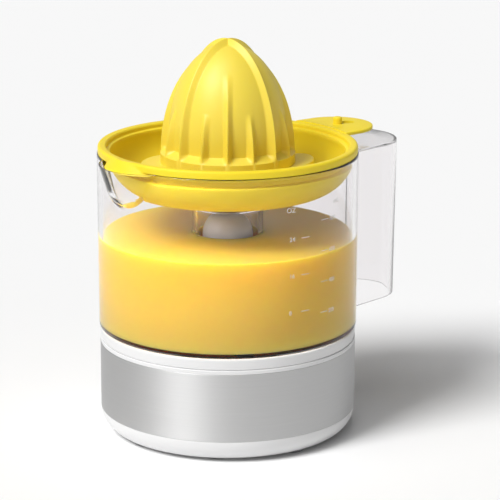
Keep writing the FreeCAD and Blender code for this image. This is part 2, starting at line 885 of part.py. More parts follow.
def gearbox_plate():
    """Steel plate that hangs from the deck and carries the gears and the motor."""
    body = new_body("gearbox_plate")
    plan = sketch_on(body, "XY_Plane", "plate_plan", plate_low)
    circle(plan, 0, 0, plate_radius)
    extrude(body, "plate", plan, size("plate_gauge"))
    holes = sketch_on(body, "XY_Plane", "hole_plan", plate_high)
    circle(holes, 0, 0, size("journal_radius") + size("running"))
    circle(holes, idler_across, idler_back, size("idler_axle_radius"))
    circle(holes, rotor_across, rotor_back, size("rotor_shaft_radius") + size("running"))
    for side in (-1, 1):
        across, along = motor_screw_place(side)
        circle(holes, across, along, size("screw_radius"))
    for index in range(len(PLATE_POSTS)):
        across, along = plate_post_place(plate_post_circle, index)
        circle(holes, across, along, size("screw_radius") + size("slip"))
    extrude(body, "holes", holes, size("plate_gauge"), cut=True)
    windows = sketch_on(body, "XY_Plane", "coil_window_plan", plate_high)
    spare = size("cover_floor") / 2
    rectangle(windows, coil_left - spare, coil_front - spare, coil_right + spare, coil_back + spare)
    extrude(body, "coil_window", windows, size("plate_gauge"), cut=True)


# Plan of the motor: the core lies along X behind the drive axis, with the rotor at its open end
core_left = 0 - core_half_length
core_right = core_half_length
core_front = rotor_back - core_half_width
core_back = rotor_back + core_half_width
core_high = plate_low
core_low = core_high - size("stack_height")
coil_spread = size("bobbin_wall") + size("winding_depth")
coil_left = core_left + yoke_length + size("seat_gap")
coil_right = coil_left + bobbin_length
coil_front = core_front - coil_spread
coil_back = core_back + coil_spread


def motor_screw_place(side):
    """Where a screw goes through the core's yoke."""
    return core_left + yoke_length / 2, rotor_back + side * leg_width


def stator_core():
    """Laminated core with two legs and the bore for the rotor."""
    body = new_body("stator_core")
    plan = sketch_on(body, "XY_Plane", "core_plan", core_low)
    inner_front = core_front + leg_width
    inner_back = core_back - leg_width
    outline(
        plan,
        (core_left, core_front),
        (core_right, core_front),
        (core_right, inner_front),
        (core_left + yoke_length, inner_front),
        (core_left + yoke_length, inner_back),
        (core_right, inner_back),
        (core_right, core_back),
        (core_left, core_back),
    )
    extrude(body, "stack", plan, size("stack_height"))
    bore = sketch_on(body, "XY_Plane", "bore_plan", core_high)
    circle(bore, rotor_across, rotor_back, rotor_radius + size("air_gap"))
    for side in (-1, 1):
        across, along = motor_screw_place(side)
        circle(bore, across, along, size("screw_radius"))
    extrude(body, "bore", bore, size("stack_height"), cut=True)


def coils():
    """Two plastic bobbins on the legs, each with its winding."""
    wall = number("bobbin_wall")
    depth = number("winding_depth")
    left = coil_left.number
    right = coil_right.number
    bobbins = []
    windings = []
    for front in (core_front.number, core_back.number - leg_width.number):
        back = front + leg_width.number
        low = core_low.number
        high = core_high.number
        leg = block(left, front, low, right, back, high)
        spool = block(left, front - wall, low - wall, right, back + wall, high + wall)
        reach = wall + depth
        outer = block(left, front - reach, low - reach, right, back + reach, high + reach)
        wound = block(left + wall, front - reach, low - reach, right - wall, back + reach, high + reach)
        windings.append(wound.cut(spool))
        bobbins.append(outer.cut(wound).fuse(spool).cut(leg).removeSplitter())
    new_feature("coil_bobbins", *bobbins)
    new_feature("coil_windings", *windings)


def rotor():
    """Magnet on its shaft, and the bridge that holds the shaft's lower end."""
    across = rotor_across.number
    along = rotor_back.number
    shaft = number("rotor_shaft_radius")
    magnet_low = core_low.number + number("air_gap")
    magnet_high = magnet_low + number("rotor_length")
    new_feature("rotor_magnet", ring(rotor_radius.number, shaft, magnet_low, magnet_high, across, along))
    bridge_high = core_low.number - number("bridge_gauge")
    bridge_low = bridge_high - number("bridge_gauge")
    shaft_high = wheel_high.number + number("washer_gauge")
    new_feature("rotor_shaft", rod(shaft, bridge_low, shaft_high, across, along))
    half = number("bridge_width") / 2
    front = core_front.number
    back = core_back.number
    lug = core_half_width.number - rotor_radius.number - number("air_gap") - number("seat_gap")
    strip = block(across - half, front, bridge_low, across + half, back, bridge_high)
    near = block(across - half, front, bridge_high, across + half, front + lug, core_low.number)
    far = block(across - half, back - lug, bridge_high, across + half, back, core_low.number)
    hole = rod(shaft + number("running"), bridge_low, bridge_high, across, along)
    new_feature("rotor_bridge", strip.fuse([near, far]).cut(hole).removeSplitter())


# The shaft's lower end, just above the switch plunger
switch_high = cover_inside + size("switch_height")
plunger_high = switch_high + size("plunger_reach")
shaft_low = plunger_high + size("seat_gap")
clip_high = journal_low - size("slip")
clip_low = clip_high - size("clip_gauge")


def drive_line():
    """Drive shaft with flats, its clip and the spring that lifts it."""
    shoulder = shoulder_height.number
    drive = drive_height.number
    tip = shaft_tip.number
    stub = flatted_rod(number("stub_radius"), number("stub_flat"), shaft_low.number, shoulder)
    groove = ring(number("shaft_radius"), number("clip_groove"), clip_low.number, clip_high.number)
    middle = rod(number("shaft_radius"), shoulder, drive)
    head = flatted_rod(number("shaft_radius"), number("shaft_flat"), drive, tip)
    shaft = stub.cut(groove).fuse([middle, head]).removeSplitter()
    tip_edges = [edge for edge in shaft.Edges if edge.BoundBox.ZMin > tip - number("slip")]
    new_feature("drive_shaft", shaft.makeChamfer(5 * number("slip"), tip_edges))
    clip = ring(number("clip_radius"), number("clip_groove"), clip_low.number, clip_high.number)
    mouth = block(0, -number("clip_groove"), clip_low.number, number("clip_radius"), number("clip_groove"),
                  clip_high.number)
    new_feature("shaft_clip", clip.cut(mouth))
    new_feature("return_spring", coil_spring(journal_high.number, shoulder))


def coil_spring(low, high):
    """A round-wire spring that stands between two faces: quarter-turn arcs joined into one path."""
    wire = number("spring_wire")
    radius = number("shaft_radius") - wire / 2 - number("running")
    turns = int(number("spring_turns"))
    bottom = low + wire / 2 + number("running")
    rise = high - low - wire - 2 * number("running")
    quarters = 4 * turns

    def place(step):
        """Point of the helix at a count of quarter turns."""
        bearing = step * math.pi / 2
        return Vector(radius * math.cos(bearing), radius * math.sin(bearing), bottom + rise * step / quarters)

    edges = []
    for quarter in range(quarters):
        edges.append(Part.Arc(place(quarter), place(quarter + 0.5), place(quarter + 1)).toShape())
    path = Part.Wire(edges)
    section = Part.Wire(Part.makeCircle(wire / 2, place(0), edges[0].tangentAt(edges[0].FirstParameter)))
    return path.makePipeShell([section], True, False)


def switch():
    """Snap switch under the shaft, with its plunger."""
    half = number("switch_length") / 2
    side = number("switch_width") / 2
    low = cover_inside.number
    high = switch_high.number
    plunger = number("plunger_radius")
    plunger_low = high - number("plunger_depth")
    well_low = plunger_low - number("press_travel") - number("seat_gap")
    case = block(-half, -side, low, half, side, high)
    well = rod(plunger + number("slip"), well_low, high)
    tags = []
    for edge in (-half / 2, half / 2):
        tags.append(block(edge, side, low + side, edge + number("band_gauge"), 2 * side, high - number("slip")))
    new_feature("switch_body", case.cut(well).fuse(tags).removeSplitter())
    new_feature("switch_plunger", rod(plunger, plunger_low, plunger_high.number))


def handle_plan(sketch, reach, end_radius, root_half, root=None, root_radius=None):
    """D-shaped plan of the handle: two sides from the jug, drawn together by a round end."""
    centre = reach - end_radius
    hub = centre.number
    half = root_half.number
    start = root.number if root is not None else math.sqrt(root_radius.number ** 2 - half ** 2)
    lower = sketch.addGeometry(Part.LineSegment(Vector(start, -half, 0), Vector(hub, -end_radius.number, 0)))
    end = sketch.addGeometry(
        Part.ArcOfCircle(Part.Circle(Vector(hub, 0, 0), UP, end_radius.number), -math.pi / 2, math.pi / 2)
    )
    upper = sketch.addGeometry(Part.LineSegment(Vector(hub, end_radius.number, 0), Vector(start, half, 0)))
    sketch.addConstraint(Sketcher.Constraint("Tangent", lower, 2, end, 1))
    sketch.addConstraint(Sketcher.Constraint("Tangent", end, 2, upper, 1))
    fix_point(sketch, end, 3, centre, 0)
    constrain(sketch, end_radius, "Radius", end)
    if root is not None:
        back = sketch.addGeometry(Part.LineSegment(Vector(start, half, 0), Vector(start, -half, 0)))
        fix_point(sketch, upper, 2, root, root_half)
        fix_point(sketch, lower, 1, root, 0 - root_half)
        sketch.addConstraint(Sketcher.Constraint("Coincident", upper, 2, back, 1))
        sketch.addConstraint(Sketcher.Constraint("Coincident", back, 2, lower, 1))
        return
    swing = math.asin(half / root_radius.number)
    back = sketch.addGeometry(
        Part.ArcOfCircle(Part.Circle(Vector(), UP, root_radius.number), -swing, swing)
    )
    constrain(sketch, root_radius, "Radius", back)
    sketch.addConstraint(Sketcher.Constraint("Coincident", back, 3, -1, 1))
    sketch.addConstraint(Sketcher.Constraint("Coincident", upper, 2, back, 2))
    sketch.addConstraint(Sketcher.Constraint("Coincident", back, 1, lower, 1))
    constrain(sketch, root_half, "DistanceY", -1, 1, upper, 2)
    constrain(sketch, 0 - root_half, "DistanceY", -1, 1, lower, 1)


def jug():
    """Clear jug: outer form, spout and handle first, then the inside, the spout's throat and the handle's."""
    body = new_body("jug")
    wall = size("jug_wall")
    foot_outer = size("base_radius") - size("jug_draft")
    edge = size("jug_edge_round")
    column_bore = size("column_radius") - wall
    column_top_bore = column_top_radius - wall
    revolve(
        body,
        "outer_form",
        (0, column_under),
        (column_top_bore, column_under),
        (column_bore, jug_under),
        (jug_foot_radius, jug_under),
        (jug_foot_radius, jug_low),
        (foot_outer - edge, jug_low),
        (foot_outer, jug_low + edge, edge),
        (size("base_radius"), jug_high),
        (0, jug_high),
    )
    spout_top = size("spout_radius") - spout_reach
    spout_heel = size("spout_heel_radius") - size("base_radius")
    spout_knee = size("spout_knee_radius") - size("base_radius") - size("spout_knee_overhang")
    heel_low = jug_high - size("spout_drop")
    heel_plan = sketch_on(body, "XY_Plane", "spout_heel_plan", heel_low)
    circle(heel_plan, spout_heel, 0, size("spout_heel_radius"))
    knee_plan = sketch_on(body, "XY_Plane", "spout_knee_plan", heel_low + size("spout_knee_rise"))
    circle(knee_plan, spout_knee, 0, size("spout_knee_radius"))
    mouth_plan = sketch_on(body, "XY_Plane", "spout_mouth_plan", jug_high)
    circle(mouth_plan, spout_top, 0, size("spout_radius"))
    loft(body, "spout", (heel_plan, knee_plan, mouth_plan))
    grip_plan = sketch_on(body, "XY_Plane", "handle_plan", handle_top)
    handle_plan(grip_plan, handle_reach, size("handle_end_radius"), size("handle_root_half"),
                root=jug_bore - 2 * wall)
    grip = extrude(body, "handle", grip_plan, handle_height, backwards=True)
    bind(grip, "TaperAngle", 0 - size("handle_taper"))
    beyond = number("base_radius") + number("jug_wall")
    top = handle_top.number
    round_edges(
        body, "handle_rounding", size("handle_round"),
        lambda item: abs(item.CenterOfMass.z - top) < 0.01 and item.CenterOfMass.x > beyond,
    )
    ledge = jug_bore + size("rim_ledge")
    revolve(
        body,
        "inside",
        (0, column_high),
        (column_top_radius - edge, column_high),
        (column_top_radius, column_high - edge, edge),
        (size("column_radius"), jug_inside + edge),
        (size("column_radius") + edge, jug_inside, 0 - edge),
        (jug_bore - size("jug_draft") - edge, jug_inside),
        (jug_bore - size("jug_draft"), jug_inside + edge, edge),
        (jug_bore, ledge_high),
        (ledge, ledge_high),
        (ledge, jug_high + wall),
        (0, jug_high + wall),
        cut=True,
    )
    throat_heel = sketch_on(body, "XY_Plane", "throat_heel_plan", heel_low + wall)
    circle(throat_heel, spout_heel, 0, size("spout_heel_radius") - wall)
    throat_knee = sketch_on(
        body, "XY_Plane", "throat_knee_plan", heel_low + size("spout_knee_rise") + wall / 2
    )
    circle(throat_knee, spout_knee, 0, size("spout_knee_radius") - wall)
    throat_mouth = sketch_on(body, "XY_Plane", "throat_mouth_plan", jug_high)
    circle(throat_mouth, spout_top, 0, size("spout_radius") - wall)
    loft(body, "throat", (throat_heel, throat_knee, throat_mouth), cut=True)
    hole_plan = sketch_on(body, "XY_Plane", "shaft_hole_plan", column_high)
    circle(hole_plan, 0, 0, size("column_hole"))
    extrude(body, "shaft_hole", hole_plan, wall, cut=True)
    hollow_plan = sketch_on(body, "XY_Plane", "handle_hollow_plan", handle_top - handle_height)
    shrink = math.tan(math.radians(number("handle_taper"))) * handle_height
    handle_plan(
        hollow_plan,
        handle_reach - wall - shrink,
        size("handle_end_radius") - wall,
        size("handle_root_half") - wall - shrink,
        root_radius=size("base_radius"),
    )
    extrude(body, "handle_hollow", hollow_plan, handle_height - wall, cut=True, backwards=True)
    key_plan = sketch_on(body, "XY_Plane", "key_plan", jug_under)
    key_far = key_circle + size("key_length")
    rectangle(key_plan, key_circle + wall, 0 - size("key_width") / 2, key_far, size("key_width") / 2)
    key = extrude(body, "key", key_plan, size("key_height"), backwards=True)
    polar(body, "keys", key, KEY_COUNT)


def strainer():
    """Yellow bowl that hangs in the jug's mouth: flange, pouring lip, thumb tab, slots and the raised hub."""
    body = new_body("strainer")
    wall = size("bowl_wall")
    rounding = size("flange_round")
    shoulder_high = flange_high - size("shoulder_drop")
    across = bowl_shoulder_radius - bowl_floor_radius
    rise = shoulder_high - bowl_under
    outer_bend = (across * across + rise * rise) / (2 * rise)
    revolve(
        body,
        "outer_form",
        (size("hub_hole"), hub_high - wall),
        (size("hub_top_radius") - wall / 2, hub_high - wall),
        (size("hub_foot_radius") - wall / 2, bowl_under),
        (bowl_floor_radius, bowl_under),
        (bowl_shoulder_radius, shoulder_high, outer_bend),
        (neck_radius, shoulder_high),
        (neck_radius, flange_low),
        (flange_radius, flange_low),
        (flange_radius, flange_high - rounding),
        (flange_radius - rounding, flange_high, rounding),
        (size("hub_hole"), flange_high),
    )
    lip_low = flange_low + size("seat_gap")
    lip_radius = size("spout_radius") - size("jug_wall") - 2 * size("lip_clear")
    lip_centre = size("spout_radius") - spout_reach
    lip_low_plan = sketch_on(body, "XY_Plane", "lip_low_plan", lip_low)
    circle(lip_low_plan, lip_centre, 0, lip_radius)
    lip_high_plan = sketch_on(body, "XY_Plane", "lip_high_plan", flange_high - rounding)
    circle(lip_high_plan, lip_centre + wall, 0, lip_radius - wall)
    loft(body, "pouring_lip", (lip_low_plan, lip_high_plan))
    tab_low = jug_high + size("tab_rise")
    tab_plan = sketch_on(body, "XY_Plane", "tab_plan", tab_low)
    handle_plan(tab_plan, tab_reach, size("tab_end_radius"), size("tab_half_width"),
                root=neck_radius - wall)
    extrude(body, "tab", tab_plan, size("tab_gauge"))
    hole_plan = sketch_on(body, "XY_Plane", "tab_hole_plan", tab_low + size("tab_gauge"))
    circle(hole_plan, tab_hole_reach, 0, size("tab_hole_radius"))
    extrude(body, "tab_hole", hole_plan, size("tab_gauge"), cut=True)
    stud_plan = sketch_on(body, "XY_Plane", "tab_stud_plan", tab_low + size("tab_gauge"))
    stud_reach = tab_hole_reach - size("tab_hole_radius") - size("tab_stud_radius")
    circle(stud_plan, stud_reach, 0, size("tab_stud_radius"))
    extrude(body, "tab_stud", stud_plan, size("tab_stud_height"))
    stud_high = tab_low.number + number("tab_gauge") + number("tab_stud_height")
    stud_x = stud_reach.number
    round_edges(
        body, "stud_rounding", size("tab_stud_radius") / 2,
        lambda item: abs(item.CenterOfMass.z - stud_high) < 0.01 and abs(item.CenterOfMass.x - stud_x) < 0.01,
    )
    rim_inner = flange_radius - size("flange_top_width")
    step_high = flange_high - size("flange_inner_drop")
    bowl_top = rim_inner - size("bowl_ledge")
    inside_across = bowl_top - bowl_floor_radius
    inside_rise = step_high - size("seat_gap") - bowl_inside
    inner_bend = (inside_across * inside_across + inside_rise * inside_rise) / (2 * inside_rise)
    axis_side = size("hub_hole") / 2
    revolve(
        body,
        "inside",
        (axis_side, hub_high),
        (size("hub_top_radius"), hub_high),
        (size("hub_foot_radius"), bowl_inside),
        (bowl_floor_radius, bowl_inside),
        (bowl_top, step_high - size("seat_gap"), inner_bend),
        (rim_inner - size("seat_gap"), step_high),
        (rim_inner, flange_high - size("seat_gap")),
        (rim_inner, flange_high + wall),
        (axis_side, flange_high + wall),
        cut=True,
    )
    slot_plan = sketch_on(body, "XY_Plane", "slot_plan", bowl_inside)
    half = size("slot_width") / 2
    rectangle(slot_plan, size("slot_inner"), 0 - half, slot_outer, half)
    slot = extrude(body, "slot", slot_plan, wall, cut=True)
    polar(body, "slots", slot, SLOT_COUNT)


def crest(rise, angle):
    """Point and outward normal of a rib's crest, an ellipse above the skirt."""
    radius = number("reamer_skirt_radius")
    place = Vector(radius * math.cos(angle), 0, reamer_skirt_top.number + rise * math.sin(angle))
    return place, Vector(math.cos(angle) / radius, 0, math.sin(angle) / rise).normalize()


def rib_section(place, normal, half_width, depth):
    """Triangle across a rib, with its point on the crest."""
    root = place - normal * depth
    side = Vector(0, half_width, 0)
    return Part.makePolygon([place, root + side, root - side, place])


def rib(rise, sweep, steps):
    """One rib: a ruled loft through triangles along its crest; a half turn goes over the tip to the far side."""
    half = number("rib_half_width")
    depth = number("rib_depth")
    drop = UP * number("reamer_wall")
    stations = [crest(rise, math.radians(sweep) * step / steps) for step in range(steps + 1)]
    first, outward = stations[0]
    stations.insert(0, (first - drop, outward))
    if sweep == 180:
        last, outward = stations[-1]
        stations.append((last - drop, outward))
    sections = [rib_section(place, normal, half, depth) for place, normal in stations]
    return Part.makeLoft(sections, True, True)


def elliptic_profile(radius, rise, middle, foot, skirt_radius, ledge, skirt_bottom):
    """Half outline of the reamer's core: quarter ellipse, straight foot, ledge and skirt."""
    ellipse = Part.Ellipse(Vector(0, 0, middle + rise), Vector(radius, 0, middle), Vector(0, 0, middle))
    dome = ellipse.toShape()
    corner = Vector(radius, 0, middle)
    crown = Vector(0, 0, middle + rise)
    start = ellipse.parameter(corner)
    end = ellipse.parameter(crown)
    quarter = Part.Edge(ellipse, min(start, end), max(start, end))
    if quarter.Length > dome.Length / 2:
        quarter = Part.Edge(ellipse, max(start, end), min(start, end) + 2 * math.pi)
    chain = [corner, Vector(radius, 0, foot), Vector(skirt_radius, 0, ledge),
             Vector(skirt_radius, 0, skirt_bottom), Vector(0, 0, skirt_bottom), crown]
    edges = [quarter]
    for first, second in zip(chain, chain[1:]):
        edges.append(Part.makeLine(first, second))
    return Part.Face(Part.Wire(Part.sortEdges(edges)[0]))


def wing():
    """Flat pointed wing that sweeps the pulp."""
    high = wing_top.number
    low = high - number("wing_gauge")
    half = number("wing_half_width")
    start = math.sqrt(number("reamer_skirt_radius") ** 2 - half ** 2) - number("reamer_wall") / 2
    tip = Vector(number("wing_reach"), 0, low)
    left = Vector(start, half, low)
    right = Vector(start, -half, low)
    bulge = number("wing_gauge") * 0.6
    middle_right = (right + tip) / 2 + Vector(bulge, -bulge, 0)
    middle_left = (left + tip) / 2 + Vector(bulge, bulge, 0)
    edges = [
        Part.Arc(right, middle_right, tip).toShape(),
        Part.Arc(tip, middle_left, left).toShape(),
        Part.makeLine(left, right),
    ]
    return Part.Face(Part.Wire(edges)).extrude(UP * number("wing_gauge"))


def reamer():
    """Ribbed cone: elliptic core, sixteen ribs of three lengths, skirt, two wings and the shaft's socket."""
    wall = number("reamer_wall")
    radius = number("core_radius")
    skirt = number("reamer_skirt_radius")
    ledge = reamer_skirt_top.number
    bottom = reamer_skirt_bottom.number
    foot = core_foot.number
    middle = core_middle.number
    rise = number("core_rise")
    axis = (Vector(), UP, 360)
    solid = elliptic_profile(radius, rise, middle, foot, skirt, ledge, bottom).revolve(*axis)
    turn = number("rib_turn")
    step = 360 / RIB_SETS
    main = rib(number("main_crest_rise"), 180, 16)
    long = rib(number("long_crest_rise"), number("long_crest_sweep"), 6)
    short = rib(number("short_crest_rise"), number("short_crest_sweep"), 5)
    tools = around(main, RIB_SETS // 2, turn, step)
    tools += around(long, RIB_SETS, turn + step / 2)
    tools += around(short, RIB_SETS, turn + step / 4)
    tools += around(short, RIB_SETS, turn + step * 3 / 4)
    tools += around(wing(), WING_COUNT, number("wing_turn"))
    solid = solid.fuse(tools)
    inside = elliptic_profile(
        radius - wall, rise - wall, middle, foot + wall / 2, skirt - wall, ledge, bottom - wall
    ).revolve(*axis)
    hub = rod(number("socket_radius"), socket_foot.number, middle + rise - wall)
    socket = flatted_rod(
        number("shaft_radius") + number("slip"), number("shaft_flat") + number("slip"),
        socket_foot.number, shaft_tip.number + number("seat_gap"),
    )
    solid = solid.cut(inside.cut(hub)).cut(socket).removeSplitter()
    new_feature("reamer", solid)


def fasteners():
    """Screws of the cover, the gear plate and the motor."""
    reach = post_circle.number * math.sqrt(0.5)
    corners = [(across * reach, along * reach) for across in (-1, 1) for along in (-1, 1)]
    recess = cover_low.number + 3 * number("slip")
    screws("cover_screws", corners, recess, boss_high.number + number("screw_bite") - number("seat_gap"))
    places = []
    for index in range(len(PLATE_POSTS)):
        places.append(plate_post_place(plate_post_circle.number, index))
    head_low = plate_low.number - number("screw_head")
    screws("plate_screws", places, head_low, plate_high.number + number("screw_bite") - number("seat_gap"))
    yoke = []
    for side in (-1, 1):
        across, along = motor_screw_place(side)
        yoke.append((across.number, along.number))
    screws("motor_screws", yoke, core_low.number - number("screw_head"), plate_high.number)


def write_parts():
    """Check every object and write each node's solids."""
    doc.recompute()
    failed = [item.Name for item in doc.Objects if {"Invalid", "Error"} & set(item.State)]
    if failed:
        raise RuntimeError(f"objects that did not recompute: {failed}")
    for node in NODES:
        if node.Shape.isNull() or not node.Shape.isValid():
            raise RuntimeError(f"{node.Label} has no valid shape")
    os.makedirs("parts", exist_ok=True)
    for node in NODES:
        node.Shape.exportStep(f"parts/{node.Label}.step")
        print(f"{node.Label}: {len(node.Shape.Solids)} solids, {node.Shape.Volume:.0f} mm3")


bottom_cover()
base_shell()
steel_band()
deck()
rubber_feet()
cord_gland()
shaft_guides()
gears()
gearbox_plate()
stator_core()
coils()
rotor()
drive_line()
switch()
jug()
strainer()
reamer()
fasteners()
write_parts()
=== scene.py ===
"""Looks of the citrus press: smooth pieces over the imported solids, finishes, light and camera.

Sizes of pieces are written in millimetres and turned to metres where a mesh is made. Finishes,
light and camera are in metres.
"""

import bpy
import bmesh
import json
import math
from mathutils import Matrix, Vector


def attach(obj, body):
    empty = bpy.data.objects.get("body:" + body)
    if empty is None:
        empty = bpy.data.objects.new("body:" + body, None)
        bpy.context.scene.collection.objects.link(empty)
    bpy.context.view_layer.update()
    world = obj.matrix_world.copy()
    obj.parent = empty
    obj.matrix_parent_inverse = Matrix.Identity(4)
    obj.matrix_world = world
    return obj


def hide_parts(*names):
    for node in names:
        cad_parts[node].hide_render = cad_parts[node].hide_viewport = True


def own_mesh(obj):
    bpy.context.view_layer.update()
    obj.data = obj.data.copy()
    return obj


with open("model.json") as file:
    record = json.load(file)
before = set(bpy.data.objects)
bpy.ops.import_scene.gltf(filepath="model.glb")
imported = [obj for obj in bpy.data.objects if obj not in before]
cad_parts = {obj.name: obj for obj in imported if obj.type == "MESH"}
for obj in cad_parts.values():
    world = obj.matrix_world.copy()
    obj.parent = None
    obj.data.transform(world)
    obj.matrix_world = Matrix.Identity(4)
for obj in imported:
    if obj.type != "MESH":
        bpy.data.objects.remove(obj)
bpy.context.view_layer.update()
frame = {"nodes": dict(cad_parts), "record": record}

MM = 0.001
FULL_TURN = 2 * math.pi
QUARTER_TURN = math.pi / 2

# Base: cover, band, shell's lip, deck and tower
BASE_RADIUS = 68.0
SPIGOT_RADIUS = 64.8
SPIGOT_INNER = 62.4
SHELL_INNER = 64.9
BAND_INNER = 67.4
BAND_LOW = 12.3
BAND_HIGH = 48.6
LIP_HIGH = 50.7
DECK_UNDER = 51.5
DECK_FLOOR = 54.0
DECK_HIGH = 56.8
TOWER_SHOULDER = 106.0
TOWER_RADIUS = 13.3
SCREW_PLACE = 40.3
GLAND_HEIGHT = 7.3

# Jug and juice; the jug's walls widen by its growth on their way up
JUG_UNDER = 57.6
JUG_FLOOR = 60.0
JUG_RIM = 150.3
JUG_FOOT_RADIUS = 68.5
JUG_WALL = 2.5
JUG_GROWTH = 0.2
JUG_LEDGE = 149.4
COLUMN_UNDER = 121.1
COLUMN_HIGH = 123.5
JUICE_LEVEL = 106.8
JUICE_RADIUS = 66.4

# Strainer
BOWL_UNDER = 129.0
BOWL_FLOOR = 131.6
BOWL_BEND = 44.0
SHOULDER_RADIUS = 65.3
NECK_RADIUS = 62.6
NECK_LOW = 145.5
HUB_BORE = 5.6
HUB_UNDER = 137.6
HUB_HIGH = 140.2
FLANGE_LOW = 148.5
FLANGE_SEAT = 150.45
FLANGE_HIGH = 154.5
FLANGE_RADIUS = 68.2
FLANGE_ROUNDING = 1.4
TAB_LOW = 153.1
TAB_HIGH = FLANGE_HIGH + 0.4

# Reamer
SKIRT_RADIUS = 35.4
SKIRT_INNER = 32.8
SKIRT_TOP = 150.0
SKIRT_BOTTOM = 137.0
SOCKET_LOW = 143.0
SOCKET_HIGH = 160.2

# Fineness of the meshes
TURN_STEPS = 240
SMALL_TURN_STEPS = 64
REAMER_STEPS = 480
REAMER_ROWS = 110
SPOUT_ROWS = 44
ROUNDING_STEPS = 5

# Distances in metres under which points are one, edges have no length, and two skins meet
SAME_POINT = 1e-7
NO_LENGTH = 1e-8
SEAM = 4e-6

# Share of an edge beside its rounded corner that keeps the flat's own shading
HOLD = 0.012
# Largest share of an edge that a rounded corner takes up
ROUNDED_SHARE = 0.48
# Rounding where the spout or the pouring lip leaves the turned wall
SPOUT_BLEND = 0.8


class Value:
    """A node's output that takes part in Python arithmetic; each operation adds a Math node."""

    def __init__(self, maker, socket):
        self.maker = maker
        self.socket = socket

    def __add__(self, other):
        return self.maker.math("ADD", self, other)

    def __radd__(self, other):
        return self.maker.math("ADD", other, self)

    def __sub__(self, other):
        return self.maker.math("SUBTRACT", self, other)

    def __rsub__(self, other):
        return self.maker.math("SUBTRACT", other, self)

    def __mul__(self, other):
        return self.maker.math("MULTIPLY", self, other)

    def __rmul__(self, other):
        return self.maker.math("MULTIPLY", other, self)

    def __truediv__(self, other):
        return self.maker.math("DIVIDE", self, other)

    def __rtruediv__(self, other):
        return self.maker.math("DIVIDE", other, self)

    def __pow__(self, other):
        return self.maker.math("POWER", self, other)


class Maker:
    """Adds nodes to one tree."""

    def __init__(self, tree):
        self.tree = tree

    def node(self, kind, settings=None, inputs=None):
        """One node: its settings first, then the values or links of its sockets."""
        made = self.tree.nodes.new(kind)
        for name, value in (settings or {}).items():
            if name == "stops":
                self.set_stops(made.color_ramp, value)
            else:
                setattr(made, name, value)
        for name, value in (inputs or {}).items():
            self.feed(made.inputs[name], value)
        return made

    def feed(self, socket, value):
        """Link a value to a socket, or set the socket's own number."""
        if isinstance(value, Value):
            self.tree.links.new(value.socket, socket)
        else:
            socket.default_value = value

    def set_stops(self, ramp, stops):
        """Give a colour ramp its stops."""
        while len(ramp.elements) > 1:
            ramp.elements.remove(ramp.elements[-1])
        ramp.elements[0].position = stops[0][0]
        ramp.elements[0].color = stops[0][1]
        for place, colour in stops[1:]:
            ramp.elements.new(place).color = colour

    def out(self, made, name=0):
        """An output of a node as a value."""
        return Value(self, made.outputs[name])

    def math(self, operation, *values):
        """A Math node on up to three values."""
        made = self.node("ShaderNodeMath", {"operation": operation}, dict(enumerate(values)))
        return self.out(made)

    def place(self, stretch=(1, 1, 1)):
        """Object coordinates, stretched along each axis."""
        where = self.out(self.node("ShaderNodeTexCoord"), "Object")
        if stretch == (1, 1, 1):
            return where
        inputs = {0: where, 1: stretch}
        return self.out(self.node("ShaderNodeVectorMath", {"operation": "MULTIPLY"}, inputs))

    def noise(self, scale, stretch=(1, 1, 1), detail=3.0, rough=0.5):
        """Noise between 0 and 1 over the object."""
        inputs = {
            "Vector": self.place(stretch), "Scale": scale, "Detail": detail, "Roughness": rough,
        }
        return self.out(self.node("ShaderNodeTexNoise", None, inputs), 0)

    def blend(self, amount, first, second):
        """A colour between two colours."""
        inputs = {"Factor": amount, 6: first, 7: second}
        return self.out(self.node("ShaderNodeMix", {"data_type": "RGBA"}, inputs), 2)

    def ramp(self, amount, *stops):
        """A value or colour read from a ramp."""
        return self.out(self.node("ShaderNodeValToRGB", {"stops": stops}, {0: amount}), 0)

    def bump(self, height, strength, distance):
        """A normal from a height."""
        inputs = {"Height": height, "Strength": strength, "Distance": distance}
        return self.out(self.node("ShaderNodeBump", None, inputs), 0)


def socket_name(word):
    """A shader socket's name from a Python word."""
    return word.replace("_", " ").title().replace("Ior", "IOR")


def finish(name, **constants):
    """A material with one Principled shader: the material, its maker and the shader."""
    material = bpy.data.materials.new(name)
    material.use_nodes = True
    material.node_tree.nodes.clear()
    maker = Maker(material.node_tree)
    shader = maker.node("ShaderNodeBsdfPrincipled")
    feed_shader(maker, shader, **constants)
    maker.node("ShaderNodeOutputMaterial", None, {"Surface": maker.out(shader)})
    return material, maker, shader


def feed_shader(maker, shader, **looks):
    """Set or link a shader's sockets."""
    for word, value in looks.items():
        maker.feed(shader.inputs[socket_name(word)], value)


def moulding(name, pale, deep, rough, grain=0.03, **constants):
    """Moulded plastic: a slow drift of colour, and a fine grain in gloss and surface."""
    material, maker, shader = finish(name, **constants)
    drift = maker.noise(scale=26, detail=2.0)
    fine = maker.noise(scale=1500, detail=2.0)
    feed_shader(
        maker, shader,
        base_color=maker.blend(drift, (*deep, 1), (*pale, 1)),
        roughness=rough - 0.05 + 0.08 * drift + 0.04 * fine,
        normal=maker.bump(fine, strength=grain, distance=0.0001),
    )
    return material


def metal(name, pale, deep, rough, stretch, depth=0.00001, **constants):
    """Metal with grinding or brushing marks that run where the stretch is small."""
    material, maker, shader = finish(name, metallic=1.0, **constants)
    finer = tuple(4 * amount for amount in stretch)
    coarse = maker.noise(scale=1.0, stretch=stretch, detail=4.0, rough=0.65)
    fine = maker.noise(scale=1.0, stretch=finer, detail=2.0)
    marks = 0.6 * coarse + 0.4 * fine
    feed_shader(
        maker, shader,
        base_color=maker.blend(marks, (*deep, 1), (*pale, 1)),
        roughness=rough - 0.06 + 0.14 * marks,
        normal=maker.bump(marks, strength=0.9, distance=depth),
    )
    return material


